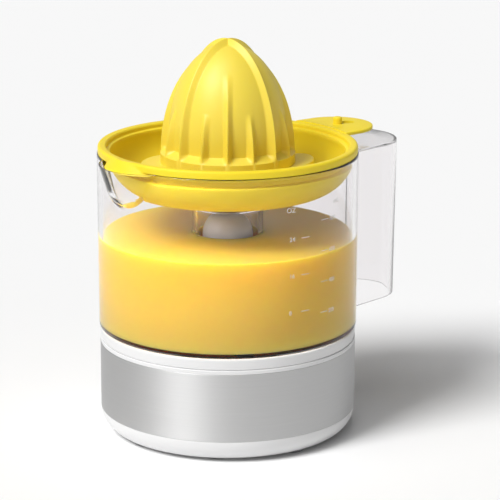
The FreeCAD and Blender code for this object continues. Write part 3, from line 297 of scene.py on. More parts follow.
def rubber(name, pale, deep):
    """Matt rubber with a dusty bloom."""
    material, maker, shader = finish(name, specular_ior_level=0.3)
    bloom = maker.noise(scale=160, detail=4.0)
    pores = maker.noise(scale=2600, detail=2.0)
    feed_shader(
        maker, shader,
        base_color=maker.blend(bloom, (*deep, 1), (*pale, 1)),
        roughness=0.7 + 0.2 * bloom,
        normal=maker.bump(pores, strength=0.2, distance=0.0001),
    )
    return material


def clear_plastic():
    """Clear jug plastic; a shadow ray goes through it, so that the juice is lit."""
    material, maker, shader = finish(
        "clear_plastic", base_color=(0.95, 0.938, 0.943, 1), transmission_weight=1.0, ior=1.49,
        specular_tint=(0.4, 0.4, 0.4, 1),
    )
    smear = maker.noise(scale=34, detail=3.0)
    feed_shader(maker, shader, roughness=0.015 + 0.03 * smear)
    through = maker.node("ShaderNodeBsdfTransparent", None, {"Color": (0.93, 0.93, 0.94, 1)})
    shadow = maker.out(maker.node("ShaderNodeLightPath"), "Is Shadow Ray")
    mixed = maker.node("ShaderNodeMixShader", None, {
        0: shadow, 1: maker.out(shader), 2: maker.out(through),
    })
    output = next(item for item in material.node_tree.nodes if item.type == "OUTPUT_MATERIAL")
    maker.feed(output.inputs["Surface"], maker.out(mixed))
    return material


def juice_finish():
    """Cloudy orange juice, paler where the pulp hangs and towards the floor of the jug; the deeper
    colour near the top is painted shade under the strainer.
    """
    material, maker, shader = finish(
        "juice", roughness=0.12, ior=1.34, specular_ior_level=0.1,
        subsurface_weight=0.8, subsurface_scale=0.025, subsurface_radius=(1.0, 0.55, 0.12),
    )
    floor = 0.06
    depth = 0.047
    pulp = maker.noise(scale=18, stretch=(1, 1, 2.2), detail=4.0)
    height = maker.out(maker.node("ShaderNodeSeparateXYZ", None, {0: maker.place()}), "Z")
    # Painted shade: the colour deepens with height towards the top of the juice, standing for the
    # shade under the strainer.
    rise = maker.math("MULTIPLY_ADD", height, 1 / depth, -floor / depth)
    colour = maker.ramp(
        0.7 * rise + 0.3 * pulp,
        (0.0, (0.77, 0.54, 0.13, 1)), (0.5, (0.76, 0.53, 0.095, 1)), (1.0, (0.74, 0.485, 0.05, 1)),
    )
    feed_shader(maker, shader, base_color=colour)
    return material


def windings_finish():
    """Enamelled copper wire, turn beside turn."""
    material, maker, shader = finish("winding_copper", metallic=0.8)
    turns = maker.out(maker.node(
        "ShaderNodeTexWave", {"bands_direction": "X"},
        {"Vector": maker.place(), "Scale": 420.0, "Distortion": 0.6},
    ), 1)
    feed_shader(
        maker, shader,
        base_color=maker.blend(turns, (0.28, 0.09, 0.03, 1), (0.72, 0.3, 0.13, 1)),
        roughness=0.45 - 0.15 * turns,
        normal=maker.bump(turns, strength=0.6, distance=0.0003),
    )
    return material


def laminations_finish():
    """Stacked core plates, seen as fine level lines."""
    material, maker, shader = finish("core_iron", metallic=0.7)
    plates = maker.out(maker.node(
        "ShaderNodeTexWave", {"bands_direction": "Z"}, {"Vector": maker.place(), "Scale": 320.0},
    ), 1)
    rust = maker.noise(scale=120, detail=4.0)
    feed_shader(
        maker, shader,
        base_color=maker.blend(rust, (0.1, 0.1, 0.11, 1), (0.23, 0.22, 0.22, 1)),
        roughness=0.45 + 0.2 * rust,
        normal=maker.bump(plates, strength=0.4, distance=0.0002),
    )
    return material


# The light that yellow plastic lets in below its surface
YELLOW_GLOW = {
    "subsurface_weight": 0.35, "subsurface_scale": 0.002, "subsurface_radius": (1.0, 0.85, 0.12),
}

FINISHES = {
    "white_plastic": moulding(
        "white_plastic", (0.77, 0.77, 0.77), (0.73, 0.73, 0.735), rough=0.34
    ),
    "yellow_plastic": moulding(
        "yellow_plastic", (0.87, 0.69, 0.07), (0.84, 0.66, 0.055), rough=0.48,
        specular_ior_level=0.65, **YELLOW_GLOW,
    ),
    "strainer_yellow": moulding(
        "strainer_yellow", (0.91, 0.715, 0.04), (0.88, 0.68, 0.025), rough=0.46,
        specular_ior_level=0.2, **YELLOW_GLOW,
    ),
    "clear_plastic": clear_plastic(),
    "juice": juice_finish(),
    "band_steel": metal(
        "band_steel", (0.6, 0.6, 0.6), (0.49, 0.49, 0.49), rough=0.56, stretch=(10, 10, 2600),
        depth=0.00002, anisotropic=0.72, anisotropic_rotation=0.25,
    ),
    "plated_steel": metal(
        "plated_steel", (0.75, 0.74, 0.7), (0.6, 0.6, 0.58), rough=0.3, stretch=(240, 240, 240)
    ),
    "shaft_steel": metal(
        "shaft_steel", (0.7, 0.7, 0.7), (0.58, 0.58, 0.58), rough=0.25, stretch=(40, 40, 1800)
    ),
    "bush_bronze": metal(
        "bush_bronze", (0.72, 0.5, 0.25), (0.55, 0.36, 0.17), rough=0.35, stretch=(400, 400, 400)
    ),
    "foot_rubber": rubber("foot_rubber", (0.33, 0.33, 0.34), (0.22, 0.22, 0.23)),
    "gland_rubber": rubber("gland_rubber", (0.72, 0.72, 0.72), (0.62, 0.62, 0.62)),
    "switch_plastic": moulding(
        "switch_plastic", (0.05, 0.05, 0.05), (0.03, 0.03, 0.03), rough=0.45, grain=0.1
    ),
    "bobbin_plastic": moulding(
        "bobbin_plastic", (0.82, 0.79, 0.7), (0.75, 0.71, 0.6), rough=0.4, grain=0.08
    ),
    "gear_plastic": moulding(
        "gear_plastic", (0.86, 0.85, 0.8), (0.8, 0.79, 0.74), rough=0.38, grain=0.06
    ),
    "winding_copper": windings_finish(),
    "core_iron": laminations_finish(),
    "scale_relief": moulding(
        "scale_relief", (0.95, 0.93, 0.9), (0.88, 0.86, 0.83), rough=0.4, alpha=0.5
    ),
}


def metres(*sizes):
    """Sizes in millimetres as metres."""
    return tuple(size * MM for size in sizes)


def evenly(first, last, steps):
    """Values at even steps from the first to the last."""
    return [first + (last - first) * step / steps for step in range(steps + 1)]


def softened(points):
    """An outline of (radius, height) points, where a third value rounds that corner."""
    result = []
    count = len(points)
    for index, point in enumerate(points):
        here = Vector((point[0], point[1]))
        if len(point) < 3:
            result.append(here)
            continue
        before = Vector(points[index - 1][:2]) - here
        after = Vector(points[(index + 1) % count][:2]) - here
        half = before.angle(after) / 2
        shorter = ROUNDED_SHARE * min(before.length, after.length)
        reach = min(point[2] / math.tan(half), shorter)
        start = here + before.normalized() * reach
        end = here + after.normalized() * reach
        result.append(start + before * HOLD)
        for share in evenly(0.0, 1.0, ROUNDING_STEPS):
            near = here * 2 * share * (1 - share)
            result.append(start * (1 - share) ** 2 + near + end * share ** 2)
        result.append(end + after * HOLD)
    return result


def arc_points(centre, radius, first, last, steps):
    """Points of an arc in the outline's plane, between two angles in degrees."""
    points = []
    for degree in evenly(first, last, steps):
        angle = math.radians(degree)
        points.append((centre[0] + radius * math.cos(angle), centre[1] + radius * math.sin(angle)))
    return points


def new_object(name, data):
    """An object in the scene for its finished data."""
    made = bpy.data.objects.new(name, data)
    bpy.context.scene.collection.objects.link(made)
    return made


def mesh_from(name, form):
    """A mesh from a form, which is used up."""
    mesh = bpy.data.meshes.new(name)
    form.to_mesh(mesh)
    form.free()
    return mesh


def from_rings(name, rings, looped=True):
    """A closed skin through rings of points in millimetres; rings on the axis close as poles."""
    form = bmesh.new()
    rows = [[form.verts.new(Vector(point) * MM) for point in ring] for ring in rings]
    pairs = list(zip(rows, rows[1:]))
    if looped:
        pairs.append((rows[-1], rows[0]))
    for lower, upper in pairs:
        for index in range(len(lower)):
            after = (index + 1) % len(lower)
            form.faces.new((lower[index], lower[after], upper[after], upper[index]))
    bmesh.ops.remove_doubles(form, verts=form.verts, dist=SAME_POINT)
    bmesh.ops.dissolve_degenerate(form, edges=form.edges, dist=NO_LENGTH)
    bmesh.ops.recalc_face_normals(form, faces=form.faces)
    return new_object(name, mesh_from(name, form))


def circle_points(radius, height, segments, start=0.0):
    """Points of a level circle about the drive axis."""
    angles = [FULL_TURN * step / segments + start for step in range(segments)]
    return [(radius * math.cos(angle), radius * math.sin(angle), height) for angle in angles]


def lathe(name, outline, segments=TURN_STEPS):
    """A closed outline of (radius, height) points turned about the drive axis."""
    return from_rings(name, [circle_points(*point, segments) for point in outline])


def rod(name, radius, low, high, segments=TURN_STEPS):
    """A round bar on the drive axis, as a tool for cutting."""
    return lathe(name, [(0.0, low), (radius, low), (radius, high), (0.0, high)], segments)


def prism(name, plan, low, high, rounding, draft=0.0):
    """An upright solid on a plan, drawn in by the draft towards its foot, its top edge rounded."""
    middle = Vector((sum(point[0] for point in plan), sum(point[1] for point in plan))) / len(plan)
    flat_below = 1.4 * rounding
    levels = [(low, draft), (high - flat_below, 0.0), (high - rounding, 0.0)]
    for degree in evenly(0, 90, ROUNDING_STEPS)[1:]:
        swing = math.radians(degree)
        height = high - rounding + rounding * math.sin(swing)
        levels.append((height, rounding * (1 - math.cos(swing))))
    rings = []
    for height, inset in levels:
        ring = []
        for point in plan:
            outward = Vector(point) - middle
            moved = middle + outward * (1 - inset / max(outward.length, inset + 0.01))
            ring.append((moved.x, moved.y, height))
        rings.append(ring)
    low_cap = [(middle.x, middle.y, rings[0][0][2])] * len(plan)
    high_cap = [(middle.x, middle.y, rings[-1][0][2])] * len(plan)
    return from_rings(name, [low_cap, *rings, high_cap], looped=False)


def plain_mesh(item):
    """The mesh that an object gives with its modifiers or its lettering worked out."""
    evaluated = item.evaluated_get(bpy.context.evaluated_depsgraph_get())
    return bpy.data.meshes.new_from_object(evaluated)


def settle(piece):
    """Turn a piece with its modifiers into a plain mesh."""
    mesh = plain_mesh(piece)
    piece.modifiers.clear()
    piece.data = mesh
    return piece


def combine(piece, tool, operation):
    """Cut a tool out of a piece or join it on; the tool is used up."""
    modifier = piece.modifiers.new("tool", "BOOLEAN")
    modifier.operation = operation
    modifier.solver = "MANIFOLD"
    modifier.object = tool
    settle(piece)
    bpy.data.objects.remove(tool)
    return piece


def join(name, *pieces):
    """Several pieces as one skin, with its doubles merged and its faces outwards."""
    form = bmesh.new()
    for piece in pieces:
        form.from_mesh(piece.data)
        bpy.data.objects.remove(piece)
    bmesh.ops.remove_doubles(form, verts=form.verts, dist=SEAM)
    bmesh.ops.recalc_face_normals(form, faces=form.faces)
    return new_object(name, mesh_from(name, form))


def shifted(piece, across=0.0, along=0.0, height=0.0):
    """Move a piece's mesh."""
    piece.data.transform(Matrix.Translation(Vector((across, along, height)) * MM))
    return piece


def dress(piece, slot, body, *nodes, material=None, angle=32):
    """Give a piece its shading, finish and body, and hide the solids that it stands for."""
    piece.data.materials.clear()
    piece.data.materials.append(FINISHES[material or slot])
    piece.data.shade_smooth()
    piece.data.set_sharp_from_angle(angle=math.radians(angle))
    if nodes:
        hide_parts(*nodes)
    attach(piece, body)


def new_tree(name, inputs):
    """A Geometry Nodes tree with named inputs: its maker, and a function that gives an input."""
    tree = bpy.data.node_groups.new(name, "GeometryNodeTree")
    for word, kind in inputs.items():
        tree.interface.new_socket(name=word, in_out="INPUT", socket_type=kind)
    tree.interface.new_socket(name="Geometry", in_out="OUTPUT", socket_type="NodeSocketGeometry")
    maker = Maker(tree)
    entry = maker.node("NodeGroupInput")
    return maker, lambda word: maker.out(entry, word)


def grown(name, maker, values):
    """The plain mesh that a tree gives for its inputs."""
    piece = new_object(name, bpy.data.meshes.new(name))
    modifier = piece.modifiers.new("form", "NODES")
    modifier.node_group = maker.tree
    for item in maker.tree.interface.items_tree:
        if item.in_out == "INPUT" and item.name in values:
            modifier[item.identifier] = values[item.name]
    return settle(piece)


def finish_tree(maker, geometry, material):
    """End a tree: real geometry, with its material."""
    real = maker.node("GeometryNodeRealizeInstances", None, {"Geometry": geometry})
    dressed = maker.node("GeometryNodeSetMaterial", None, {
        "Geometry": maker.out(real), "Material": material,
    })
    maker.node("NodeGroupOutput", None, {"Geometry": maker.out(dressed)})


def bar_tree():
    """Bars on a circle, each along its own radius: slots, keys and their notches."""
    maker, given = new_tree("bars_on_circle", {
        "Count": "NodeSocketInt", "Middle radius": "NodeSocketFloat", "Bar": "NodeSocketVector",
        "Material": "NodeSocketMaterial",
    })
    circle = maker.node("GeometryNodeMeshCircle", None, {
        "Vertices": given("Count"), "Radius": given("Middle radius"),
    })
    bar = maker.node("GeometryNodeMeshCube", None, {"Size": given("Bar")})
    place = maker.out(maker.node("GeometryNodeInputPosition"))
    facing = maker.node("FunctionNodeAlignRotationToVector", {"axis": "X"}, {"Vector": place})
    bars = maker.node("GeometryNodeInstanceOnPoints", None, {
        "Points": maker.out(circle), "Instance": maker.out(bar), "Rotation": maker.out(facing),
    })
    finish_tree(maker, maker.out(bars), given("Material"))
    return maker


def bars(name, count, middle_radius, bar, height, material):
    """A ring of bars (length, width, depth) at a height."""
    ring = grown(name, bar_tree(), {
        "Count": count, "Middle radius": middle_radius * MM, "Bar": metres(*bar),
        "Material": FINISHES[material],
    })
    return shifted(ring, height=height)


def set_tree(name, kind, inputs):
    """Copies of one piece on the points of a circle or a line, both sized by named inputs."""
    words = {"Piece": "NodeSocketObject", "Material": "NodeSocketMaterial", **inputs}
    maker, given = new_tree(name, words)
    piece = maker.node("GeometryNodeObjectInfo", None, {"Object": given("Piece")})
    points = maker.node(kind, None, {word: given(word) for word in inputs})
    copies = maker.node("GeometryNodeInstanceOnPoints", None, {
        "Points": maker.out(points), "Instance": maker.out(piece, "Geometry"),
    })
    finish_tree(maker, maker.out(copies), given("Material"))
    return maker


def coil_tree():
    """A round wire wound into an open coil."""
    maker, given = new_tree("coil_form", {
        "Turns": "NodeSocketFloat", "Coil radius": "NodeSocketFloat", "Rise": "NodeSocketFloat",
        "Wire radius": "NodeSocketFloat", "Material": "NodeSocketMaterial",
    })
    path = maker.node("GeometryNodeCurveSpiral", None, {
        "Resolution": 40, "Rotations": given("Turns"), "Start Radius": given("Coil radius"),
        "End Radius": given("Coil radius"), "Height": given("Rise"),
    })
    wire = maker.node("GeometryNodeCurvePrimitiveCircle", None, {
        "Resolution": 12, "Radius": given("Wire radius"),
    })
    coil = maker.node("GeometryNodeCurveToMesh", None, {
        "Curve": maker.out(path), "Profile Curve": maker.out(wire), "Fill Caps": True,
    })
    finish_tree(maker, maker.out(coil), given("Material"))
    return maker


def reamer_tree():
    """The reamer's ribbed dome: a grid of turn and lean, moved out to the core or nearest rib."""
    lengths = (
        "Skirt radius", "Tip rise", "Core radius", "Core rise", "Core lift", "Ledge rise",
        "Long rise", "Short rise", "Rib half width", "Crest edge", "Foot height",
    )
    inputs = {word: "NodeSocketFloat" for word in lengths}
    inputs["Rib turn"] = "NodeSocketFloat"
    inputs["Material"] = "NodeSocketMaterial"
    maker, given = new_tree("reamer_form", inputs)
    grid = maker.node("GeometryNodeMeshGrid", None, {
        "Size X": FULL_TURN, "Size Y": QUARTER_TURN,
        "Vertices X": REAMER_STEPS + 1, "Vertices Y": REAMER_ROWS + 1,
    })
    spread = maker.out(maker.node("GeometryNodeInputPosition"))
    parts = maker.node("ShaderNodeSeparateXYZ", None, {0: spread})
    turn = maker.out(parts, "X")
    lean = maker.out(parts, "Y") + QUARTER_TURN / 2
    out = maker.math("SINE", lean)
    up = maker.math("COSINE", lean)

    def larger(first, second):
        return maker.math("MAXIMUM", first, second)

    def root(amount):
        return maker.math("SQRT", amount)

    def ellipse(radius, rise):
        return 1.0 / root((out / radius) ** 2 + (up / rise) ** 2)

    radius = given("Core radius")
    rise = given("Core rise")
    lift = given("Core lift")
    share = (out / radius) ** 2 + (up / rise) ** 2
    half = lift * up / rise ** 2
    dome = (half + root(half ** 2 - share * ((lift / rise) ** 2 - 1.0))) / share
    never_zero = 0.0001
    wall = radius / (out + never_zero)
    below = maker.math("LESS_THAN", wall * up, lift)
    slope = (given("Skirt radius") - radius) / given("Ledge rise")
    ledge = given("Skirt radius") / (out + slope * up)
    core = larger(dome * (1.0 - below) + wall * below, ledge)

    def ribs(crest_rise, period, first, shrink):
        """The core with one family of ribs on it, their sides a little hollow."""
        hollow = 1.2
        crest = ellipse(given("Skirt radius") * shrink, crest_rise)
        gap = maker.math("WRAP", turn - given("Rib turn") - first, period / 2, -period / 2)
        aside = crest * out * maker.math("SINE", gap)
        edge = given("Crest edge")
        aside = root(aside ** 2 + edge ** 2) - edge
        near = larger(1.0 - aside / given("Rib half width"), 0.0)
        return core + larger(crest - core, 0.0) * near ** hollow

    surface = larger(
        ribs(given("Tip rise"), QUARTER_TURN, first=0.0, shrink=1.0),
        larger(
            ribs(given("Long rise"), QUARTER_TURN, first=QUARTER_TURN / 2, shrink=0.995),
            ribs(given("Short rise"), QUARTER_TURN / 2, first=QUARTER_TURN / 4, shrink=0.99),
        ),
    )
    spot = maker.node("ShaderNodeCombineXYZ", None, {
        "X": surface * out * maker.math("COSINE", turn),
        "Y": surface * out * maker.math("SINE", turn),
        "Z": surface * up + given("Foot height"),
    })
    moved = maker.node("GeometryNodeSetPosition", None, {
        "Geometry": maker.out(grid), "Position": maker.out(spot),
    })
    closed = maker.node("GeometryNodeMergeByDistance", None, {
        "Geometry": maker.out(moved), "Distance": SEAM / 2,
    })
    finish_tree(maker, maker.out(closed), given("Material"))
    return maker


def wing(turn):
    """One flat swept wing of the reamer: a blunt end and a long taper."""
    edge = [
        (-66, 33.0), (-60, 38.4), (-53, 41.2), (-46, 43.2), (-38, 44.9), (-31, 46.0),
        (-25, 46.5), (-19, 46.2), (-15.5, 45.2), (-13, 43.4), (-11.5, 40.5), (-11, 33.0),
    ]
    plan = []
    for swing, reach in edge:
        angle = math.radians(turn + swing)
        plan.append((reach * math.cos(angle), reach * math.sin(angle)))
    return prism("wing", plan, low=142.4, high=144.9, rounding=0.8)


def make_reamer():
    """Yellow ribbed reamer with its skirt, socket and wings."""
    dome = grown("reamer_ribs", reamer_tree(), {
        "Skirt radius": SKIRT_RADIUS * MM, "Tip rise": 59.9 * MM, "Core radius": 30.8 * MM,
        "Core rise": 47.0 * MM, "Core lift": 10.0 * MM, "Ledge rise": 3.0 * MM,
        "Long rise": 55.5 * MM, "Short rise": 45.5 * MM, "Rib half width": 2.6 * MM,
        "Crest edge": 0.18 * MM, "Foot height": SKIRT_TOP * MM, "Rib turn": math.radians(7),
        "Material": FINISHES["yellow_plastic"],
    })
    hollow_radius, hollow_low, hollow_rise = 28.2, 160.0, 44.4
    inside = [
        (SKIRT_RADIUS, SKIRT_TOP), (SKIRT_RADIUS, SKIRT_BOTTOM + 0.4),
        (SKIRT_RADIUS - 0.4, SKIRT_BOTTOM), (SKIRT_INNER, SKIRT_BOTTOM),
        (SKIRT_INNER, SKIRT_TOP - 1.0), (hollow_radius, 154.3), (hollow_radius, hollow_low),
    ]
    for degree in range(7, 78, 7):
        swing = math.radians(degree)
        height = hollow_low + hollow_rise * math.sin(swing)
        inside.append((hollow_radius * math.cos(swing), height))
    inside += [
        (8.0, 202.2), (8.0, SOCKET_LOW), (4.1, SOCKET_LOW), (4.1, SOCKET_HIGH), (0.0, SOCKET_HIGH),
    ]
    rings = [circle_points(*point, REAMER_STEPS, start=-math.pi) for point in inside]
    skirt = from_rings("reamer_skirt", rings, looped=False)
    piece = join("reamer_piece", dome, skirt)
    for turn in (0, 180):
        combine(piece, wing(turn), "UNION")
    dress(piece, "yellow_plastic", "reamer", "reamer", angle=38)


def tongue(root, root_half, reach, end_radius, steps=28):
    """Plan of a tongue with sides that run tangent into a round end."""
    centre = reach - end_radius
    span = centre - root
    lean = math.acos(end_radius / math.hypot(span, root_half))
    last = math.atan2(root_half, -span) - lean
    plan = [(root, -root_half)]
    for angle in evenly(-last, last, steps):
        plan.append((centre + end_radius * math.cos(angle), end_radius * math.sin(angle)))
    plan.append((root, root_half))
    return plan


def larger_rounded(first, second):
    """The larger of two lengths, rounded where they meet."""
    near = max(SPOUT_BLEND - abs(first - second), 0.0) / SPOUT_BLEND
    return max(first, second) + near * near * SPOUT_BLEND / 4


def cone_reach(angle, height, circles):
    """How far a stack of circles (centre distance, height, radius) at the spout reaches."""
    if height < circles[0][1] or math.cos(angle) > 0:
        return 0.0
    lower, upper = circles[0], circles[1]
    for pair in zip(circles, circles[1:]):
        if height >= pair[0][1]:
            lower, upper = pair
    share = (height - lower[1]) / (upper[1] - lower[1])
    centre = lower[0] + share * (upper[0] - lower[0])
    radius = lower[2] + share * (upper[2] - lower[2])
    aside = radius ** 2 - (centre * math.sin(angle)) ** 2
    if aside < 0:
        return 0.0
    return math.sqrt(aside) - centre * math.cos(angle)


def columns():
    """Directions round the jug and strainer, closer together at the spout."""
    spout_from, spout_to = 150, 210
    fine, coarse = 0.4, 1.5
    angles = []
    degree = 0.0
    while degree < 360.0 - 0.01:
        angles.append(math.radians(degree))
        degree += fine if spout_from <= degree < spout_to else coarse
    return angles


def spouted(name, section, forms):
    """A turned section whose marked sides also reach out to their own circles at the spout."""
    angles = columns()
    rings = []
    for radius, height, side in section:
        ring = []
        for angle in angles:
            reach = radius
            if side in forms:
                reach = larger_rounded(radius, cone_reach(angle, height, forms[side]))
            ring.append((reach * math.cos(angle), reach * math.sin(angle), height))
        rings.append(ring)
    return from_rings(name, rings)


def bend_between(start, end, steps=24):
    """Points of an arc that leaves its start level and climbs to its end."""
    across = end[0] - start[0]
    rise = end[1] - start[1]
    radius = (across ** 2 + rise ** 2) / (2 * rise)
    last = math.degrees(math.atan2(rise - radius, across))
    return arc_points((start[0], start[1] + radius), radius, -90.0, last, steps)


def strainer_section():
    """Section of the strainer: underside, neck, flange, stepped rim, bowl and hub."""
    under = [
        (HUB_BORE, HUB_UNDER), (8.7, HUB_UNDER, 0.6), (17.7, BOWL_UNDER, 2.0), (43.0, BOWL_UNDER),
    ]
    under += bend_between((BOWL_BEND, BOWL_UNDER), (SHOULDER_RADIUS, 144.4))
    under += [
        (SHOULDER_RADIUS, 145.1, 0.4), (NECK_RADIUS, NECK_LOW, 0.3), (NECK_RADIUS, FLANGE_LOW, 0.4),
        (65.6, FLANGE_LOW),
    ]
    section = [(point.x, point.y, "plain") for point in softened(under)]
    side = [(65.9, height) for height in (148.9, 149.4, 149.9, FLANGE_SEAT)]
    side += [(FLANGE_RADIUS - 0.2, FLANGE_SEAT), (FLANGE_RADIUS, FLANGE_SEAT + 0.2)]
    side += [(FLANGE_RADIUS, height) for height in (151.1, 151.6, 152.1)]
    corner = (FLANGE_RADIUS - FLANGE_ROUNDING, FLANGE_HIGH - FLANGE_ROUNDING)
    side += arc_points(corner, FLANGE_ROUNDING, first=0.0, last=90.0, steps=9)
    section += [(*point, "lip") for point in side]
    bowl_edge = (61.5, 150.4)
    inside = [
        (64.3, 154.15, 0.4), (63.7, 153.4, 0.3), (63.5, 151.8, 0.4), (61.9, 151.4, 0.4), bowl_edge,
    ]
    inside += bend_between((BOWL_BEND, BOWL_FLOOR), bowl_edge)[::-1][1:]
    inside += [(18.6, BOWL_FLOOR, 3.0), (10.0, HUB_HIGH, 1.5), (HUB_BORE, HUB_HIGH, 0.3)]
    ends = [side[-1], *inside, (HUB_BORE, HUB_UNDER)]
    section += [(point.x, point.y, "plain") for point in softened(ends)[1:-1]]
    return section


def make_strainer():
    """Yellow strainer bowl: flange, pouring lip, tab with stud and hole, slots and raised hub."""
    lip = [(50.2, FLANGE_LOW + 0.4, 23.6), (47.7, 155.0, 20.4)]
    piece = spouted("strainer_piece", strainer_section(), {"lip": lip})
    tab_plan = tongue(root=63.6, root_half=21.0, reach=94.2, end_radius=20.5)
    tab = prism("tab", tab_plan, TAB_LOW, TAB_HIGH, rounding=0.7)
    bowl = rod("bowl", radius=66.7, low=140.0, high=160.0)
    combine(piece, combine(tab, bowl, "DIFFERENCE"), "UNION")
    slots = bars(
        "slots", count=36, middle_radius=32.0, bar=(18.0, 2.0, 8.0), height=130.3,
        material="strainer_yellow",
    )
    combine(piece, slots, "DIFFERENCE")
    hole = rod("tab_hole", radius=3.7, low=148.0, high=156.0, segments=SMALL_TURN_STEPS)
    combine(piece, shifted(hole, across=82.6), "DIFFERENCE")
    stud_low, stud_high, stud_radius = 153.8, 158.8, 2.4
    stud = lathe("tab_stud", softened([
        (0.0, stud_low), (stud_radius, stud_low), (stud_radius, stud_high, 1.4), (0.0, stud_high),
    ]), SMALL_TURN_STEPS)
    combine(piece, shifted(stud, across=75.6), "UNION")
    dress(piece, "yellow_plastic", "strainer", "strainer", material="strainer_yellow", angle=35)


def jug_outer(height):
    """Outer radius of the jug's wall at a height."""
    low, high = 58.8, JUG_RIM
    return JUG_FOOT_RADIUS + JUG_GROWTH * (height - low) / (high - low)


def jug_inner(height):
    """Inner radius of the jug's wall at a height."""
    low, high = 62.0, 148.3
    return JUG_FOOT_RADIUS - JUG_WALL + JUG_GROWTH * (height - low) / (high - low)


def jug_section():
    """Section of the jug: outer wall, rim, inner wall, floor, column and underside."""
    foot = softened([
        (63.0, JUG_UNDER), (63.0, DECK_HIGH, 0.3), (JUG_FOOT_RADIUS, DECK_HIGH, 2.0),
        (JUG_FOOT_RADIUS, 61.0),
    ])
    section = [(point.x, point.y, "plain") for point in foot]
    outer_heights = [72.0, 90.0, 108.0, 122.0, 126.4, *evenly(127.0, 149.6, SPOUT_ROWS)]
    section += [(jug_outer(height), height, "outer") for height in outer_heights]
    section += [(68.55, 150.05, "outer"), (68.3, JUG_RIM, "outer")]
    ledge = [
        (67.0, JUG_RIM), (66.7, 150.1), (66.6, 149.8), (66.6, 149.5), (66.55, JUG_LEDGE),
        (66.3, JUG_LEDGE),
    ]
    section += [(*point, "inner") for point in ledge]
    inner_heights = [*evenly(149.1, 123.6, SPOUT_ROWS), 122.0, 108.0, 90.0, 72.0]
    section += [(jug_inner(height), height, "inner") for height in inner_heights]
    floor = softened([
        (66.0, 66.0), (66.0, JUG_FLOOR, 2.0), (19.3, JUG_FLOOR, 2.0), (18.6, COLUMN_HIGH, 2.0),
        (6.0, COLUMN_HIGH, 0.4), (6.0, COLUMN_UNDER, 0.3), (16.1, COLUMN_UNDER, 1.0),
        (16.8, JUG_UNDER, 0.5),
    ])
    return section + [(point.x, point.y, "plain") for point in floor]


def make_jug():
    """Clear jug with its spout and keys, and the hollow handle grown into its wall."""
    piece = spouted("jug_piece", jug_section(), {
        "outer": [
            (52.0, 127.5, 15.9), (51.7, 131.0, 18.1), (51.2, 136.0, 21.4), (50.2, JUG_RIM, 26.6),
        ],
        "inner": [
            (52.0, 127.5, 13.1), (51.7, 131.0, 15.4), (51.2, 136.0, 19.2), (50.2, JUG_RIM, 25.8),
        ],
    })
    grip_plan = tongue(root=60.4, root_half=29.0, reach=110.5, end_radius=25.0, steps=48)
    hollow_plan = tongue(root=58.0, root_half=27.2, reach=109.0, end_radius=23.5, steps=48)
    grip = prism("grip", grip_plan, low=59.6, high=146.2, rounding=1.2, draft=1.2)
    hollow = prism("hollow", hollow_plan, low=50.0, high=145.0, rounding=0.6, draft=1.2)
    wall = rod("wall", radius=68.6, low=40.0, high=160.0)
    combine(grip, combine(hollow, wall, "DIFFERENCE"), "DIFFERENCE")
    bore = rod("bore", radius=67.4, low=40.0, high=160.0)
    combine(piece, combine(grip, bore, "DIFFERENCE"), "UNION")
    keys = bars(
        "keys", count=3, middle_radius=60.25, bar=(5.5, 8.0, 2.4), height=56.6,
        material="clear_plastic",
    )
    combine(piece, keys, "UNION")
    dress(piece, "clear_plastic", "jug", "jug", angle=30)


def make_juice():
    """The juice in the jug, rounded off at the wall and with a slight rise at the column."""
    outline = [
        (19.2, 61.2), (21.2, 58.8), (64.4, 58.8), (66.3, 61.2), (JUICE_RADIUS, JUICE_LEVEL - 1.0),
        (66.36, JUICE_LEVEL - 0.5), (66.24, JUICE_LEVEL - 0.2), (65.9, JUICE_LEVEL - 0.04),
        (65.0, JUICE_LEVEL), (20.0, JUICE_LEVEL), (19.1, JUICE_LEVEL + 0.25),
        (18.7, JUICE_LEVEL + 0.7),
    ]
    piece = lathe("juice", outline, segments=192)
    dress(piece, "clear_plastic", "jug", material="juice", angle=50)


def make_base():
    """White cover, shell and deck, and the steel band."""
    make_cover()
    shell = [
        (SHELL_INNER, BAND_LOW), (BAND_INNER, BAND_LOW), (BAND_INNER, BAND_HIGH),
        (67.9, BAND_HIGH, 0.2), (BASE_RADIUS, LIP_HIGH, 0.5), (SHELL_INNER, LIP_HIGH),
    ]
    dress(lathe("shell_piece", softened(shell)), "white_plastic", "base", "base_shell")
    band = [
        (BAND_INNER, BAND_LOW), (BASE_RADIUS, BAND_LOW, 0.25), (BASE_RADIUS, BAND_HIGH, 0.25),
        (BAND_INNER, BAND_HIGH),
    ]
    dress(lathe("band_piece", softened(band)), "band_steel", "base", "steel_band")
    make_deck()


def make_cover():
    """White bottom cover, sunk for its screws and cut out for the gland."""
    outline = [(0.0, 2.0), (62.0, 2.0)]
    outline += arc_points((56.0, BAND_LOW), radius=12.0, first=-59.0, last=-2.0, steps=12)
    outline += [
        (BASE_RADIUS, BAND_LOW, 0.2), (SPIGOT_RADIUS, BAND_LOW), (SPIGOT_RADIUS, 17.0),
        (SPIGOT_INNER, 17.0), (SPIGOT_INNER, 9.8), (59.5, 4.5), (0.0, 4.5),
    ]
    piece = lathe("cover_piece", softened(outline))
    for across in (-SCREW_PLACE, SCREW_PLACE):
        for along in (-SCREW_PLACE, SCREW_PLACE):
            sink = rod("screw_sink", radius=3.05, low=1.0, high=5.5, segments=48)
            combine(piece, shifted(sink, across, along), "DIFFERENCE")
    seat = rod("gland_seat", radius=4.75, low=64.4, high=80.0, segments=SMALL_TURN_STEPS)
    seat.data.transform(Matrix.Rotation(math.radians(90), 4, "Y"))
    combine(piece, shifted(seat, height=GLAND_HEIGHT), "DIFFERENCE")
    dress(piece, "white_plastic", "base", "bottom_cover")


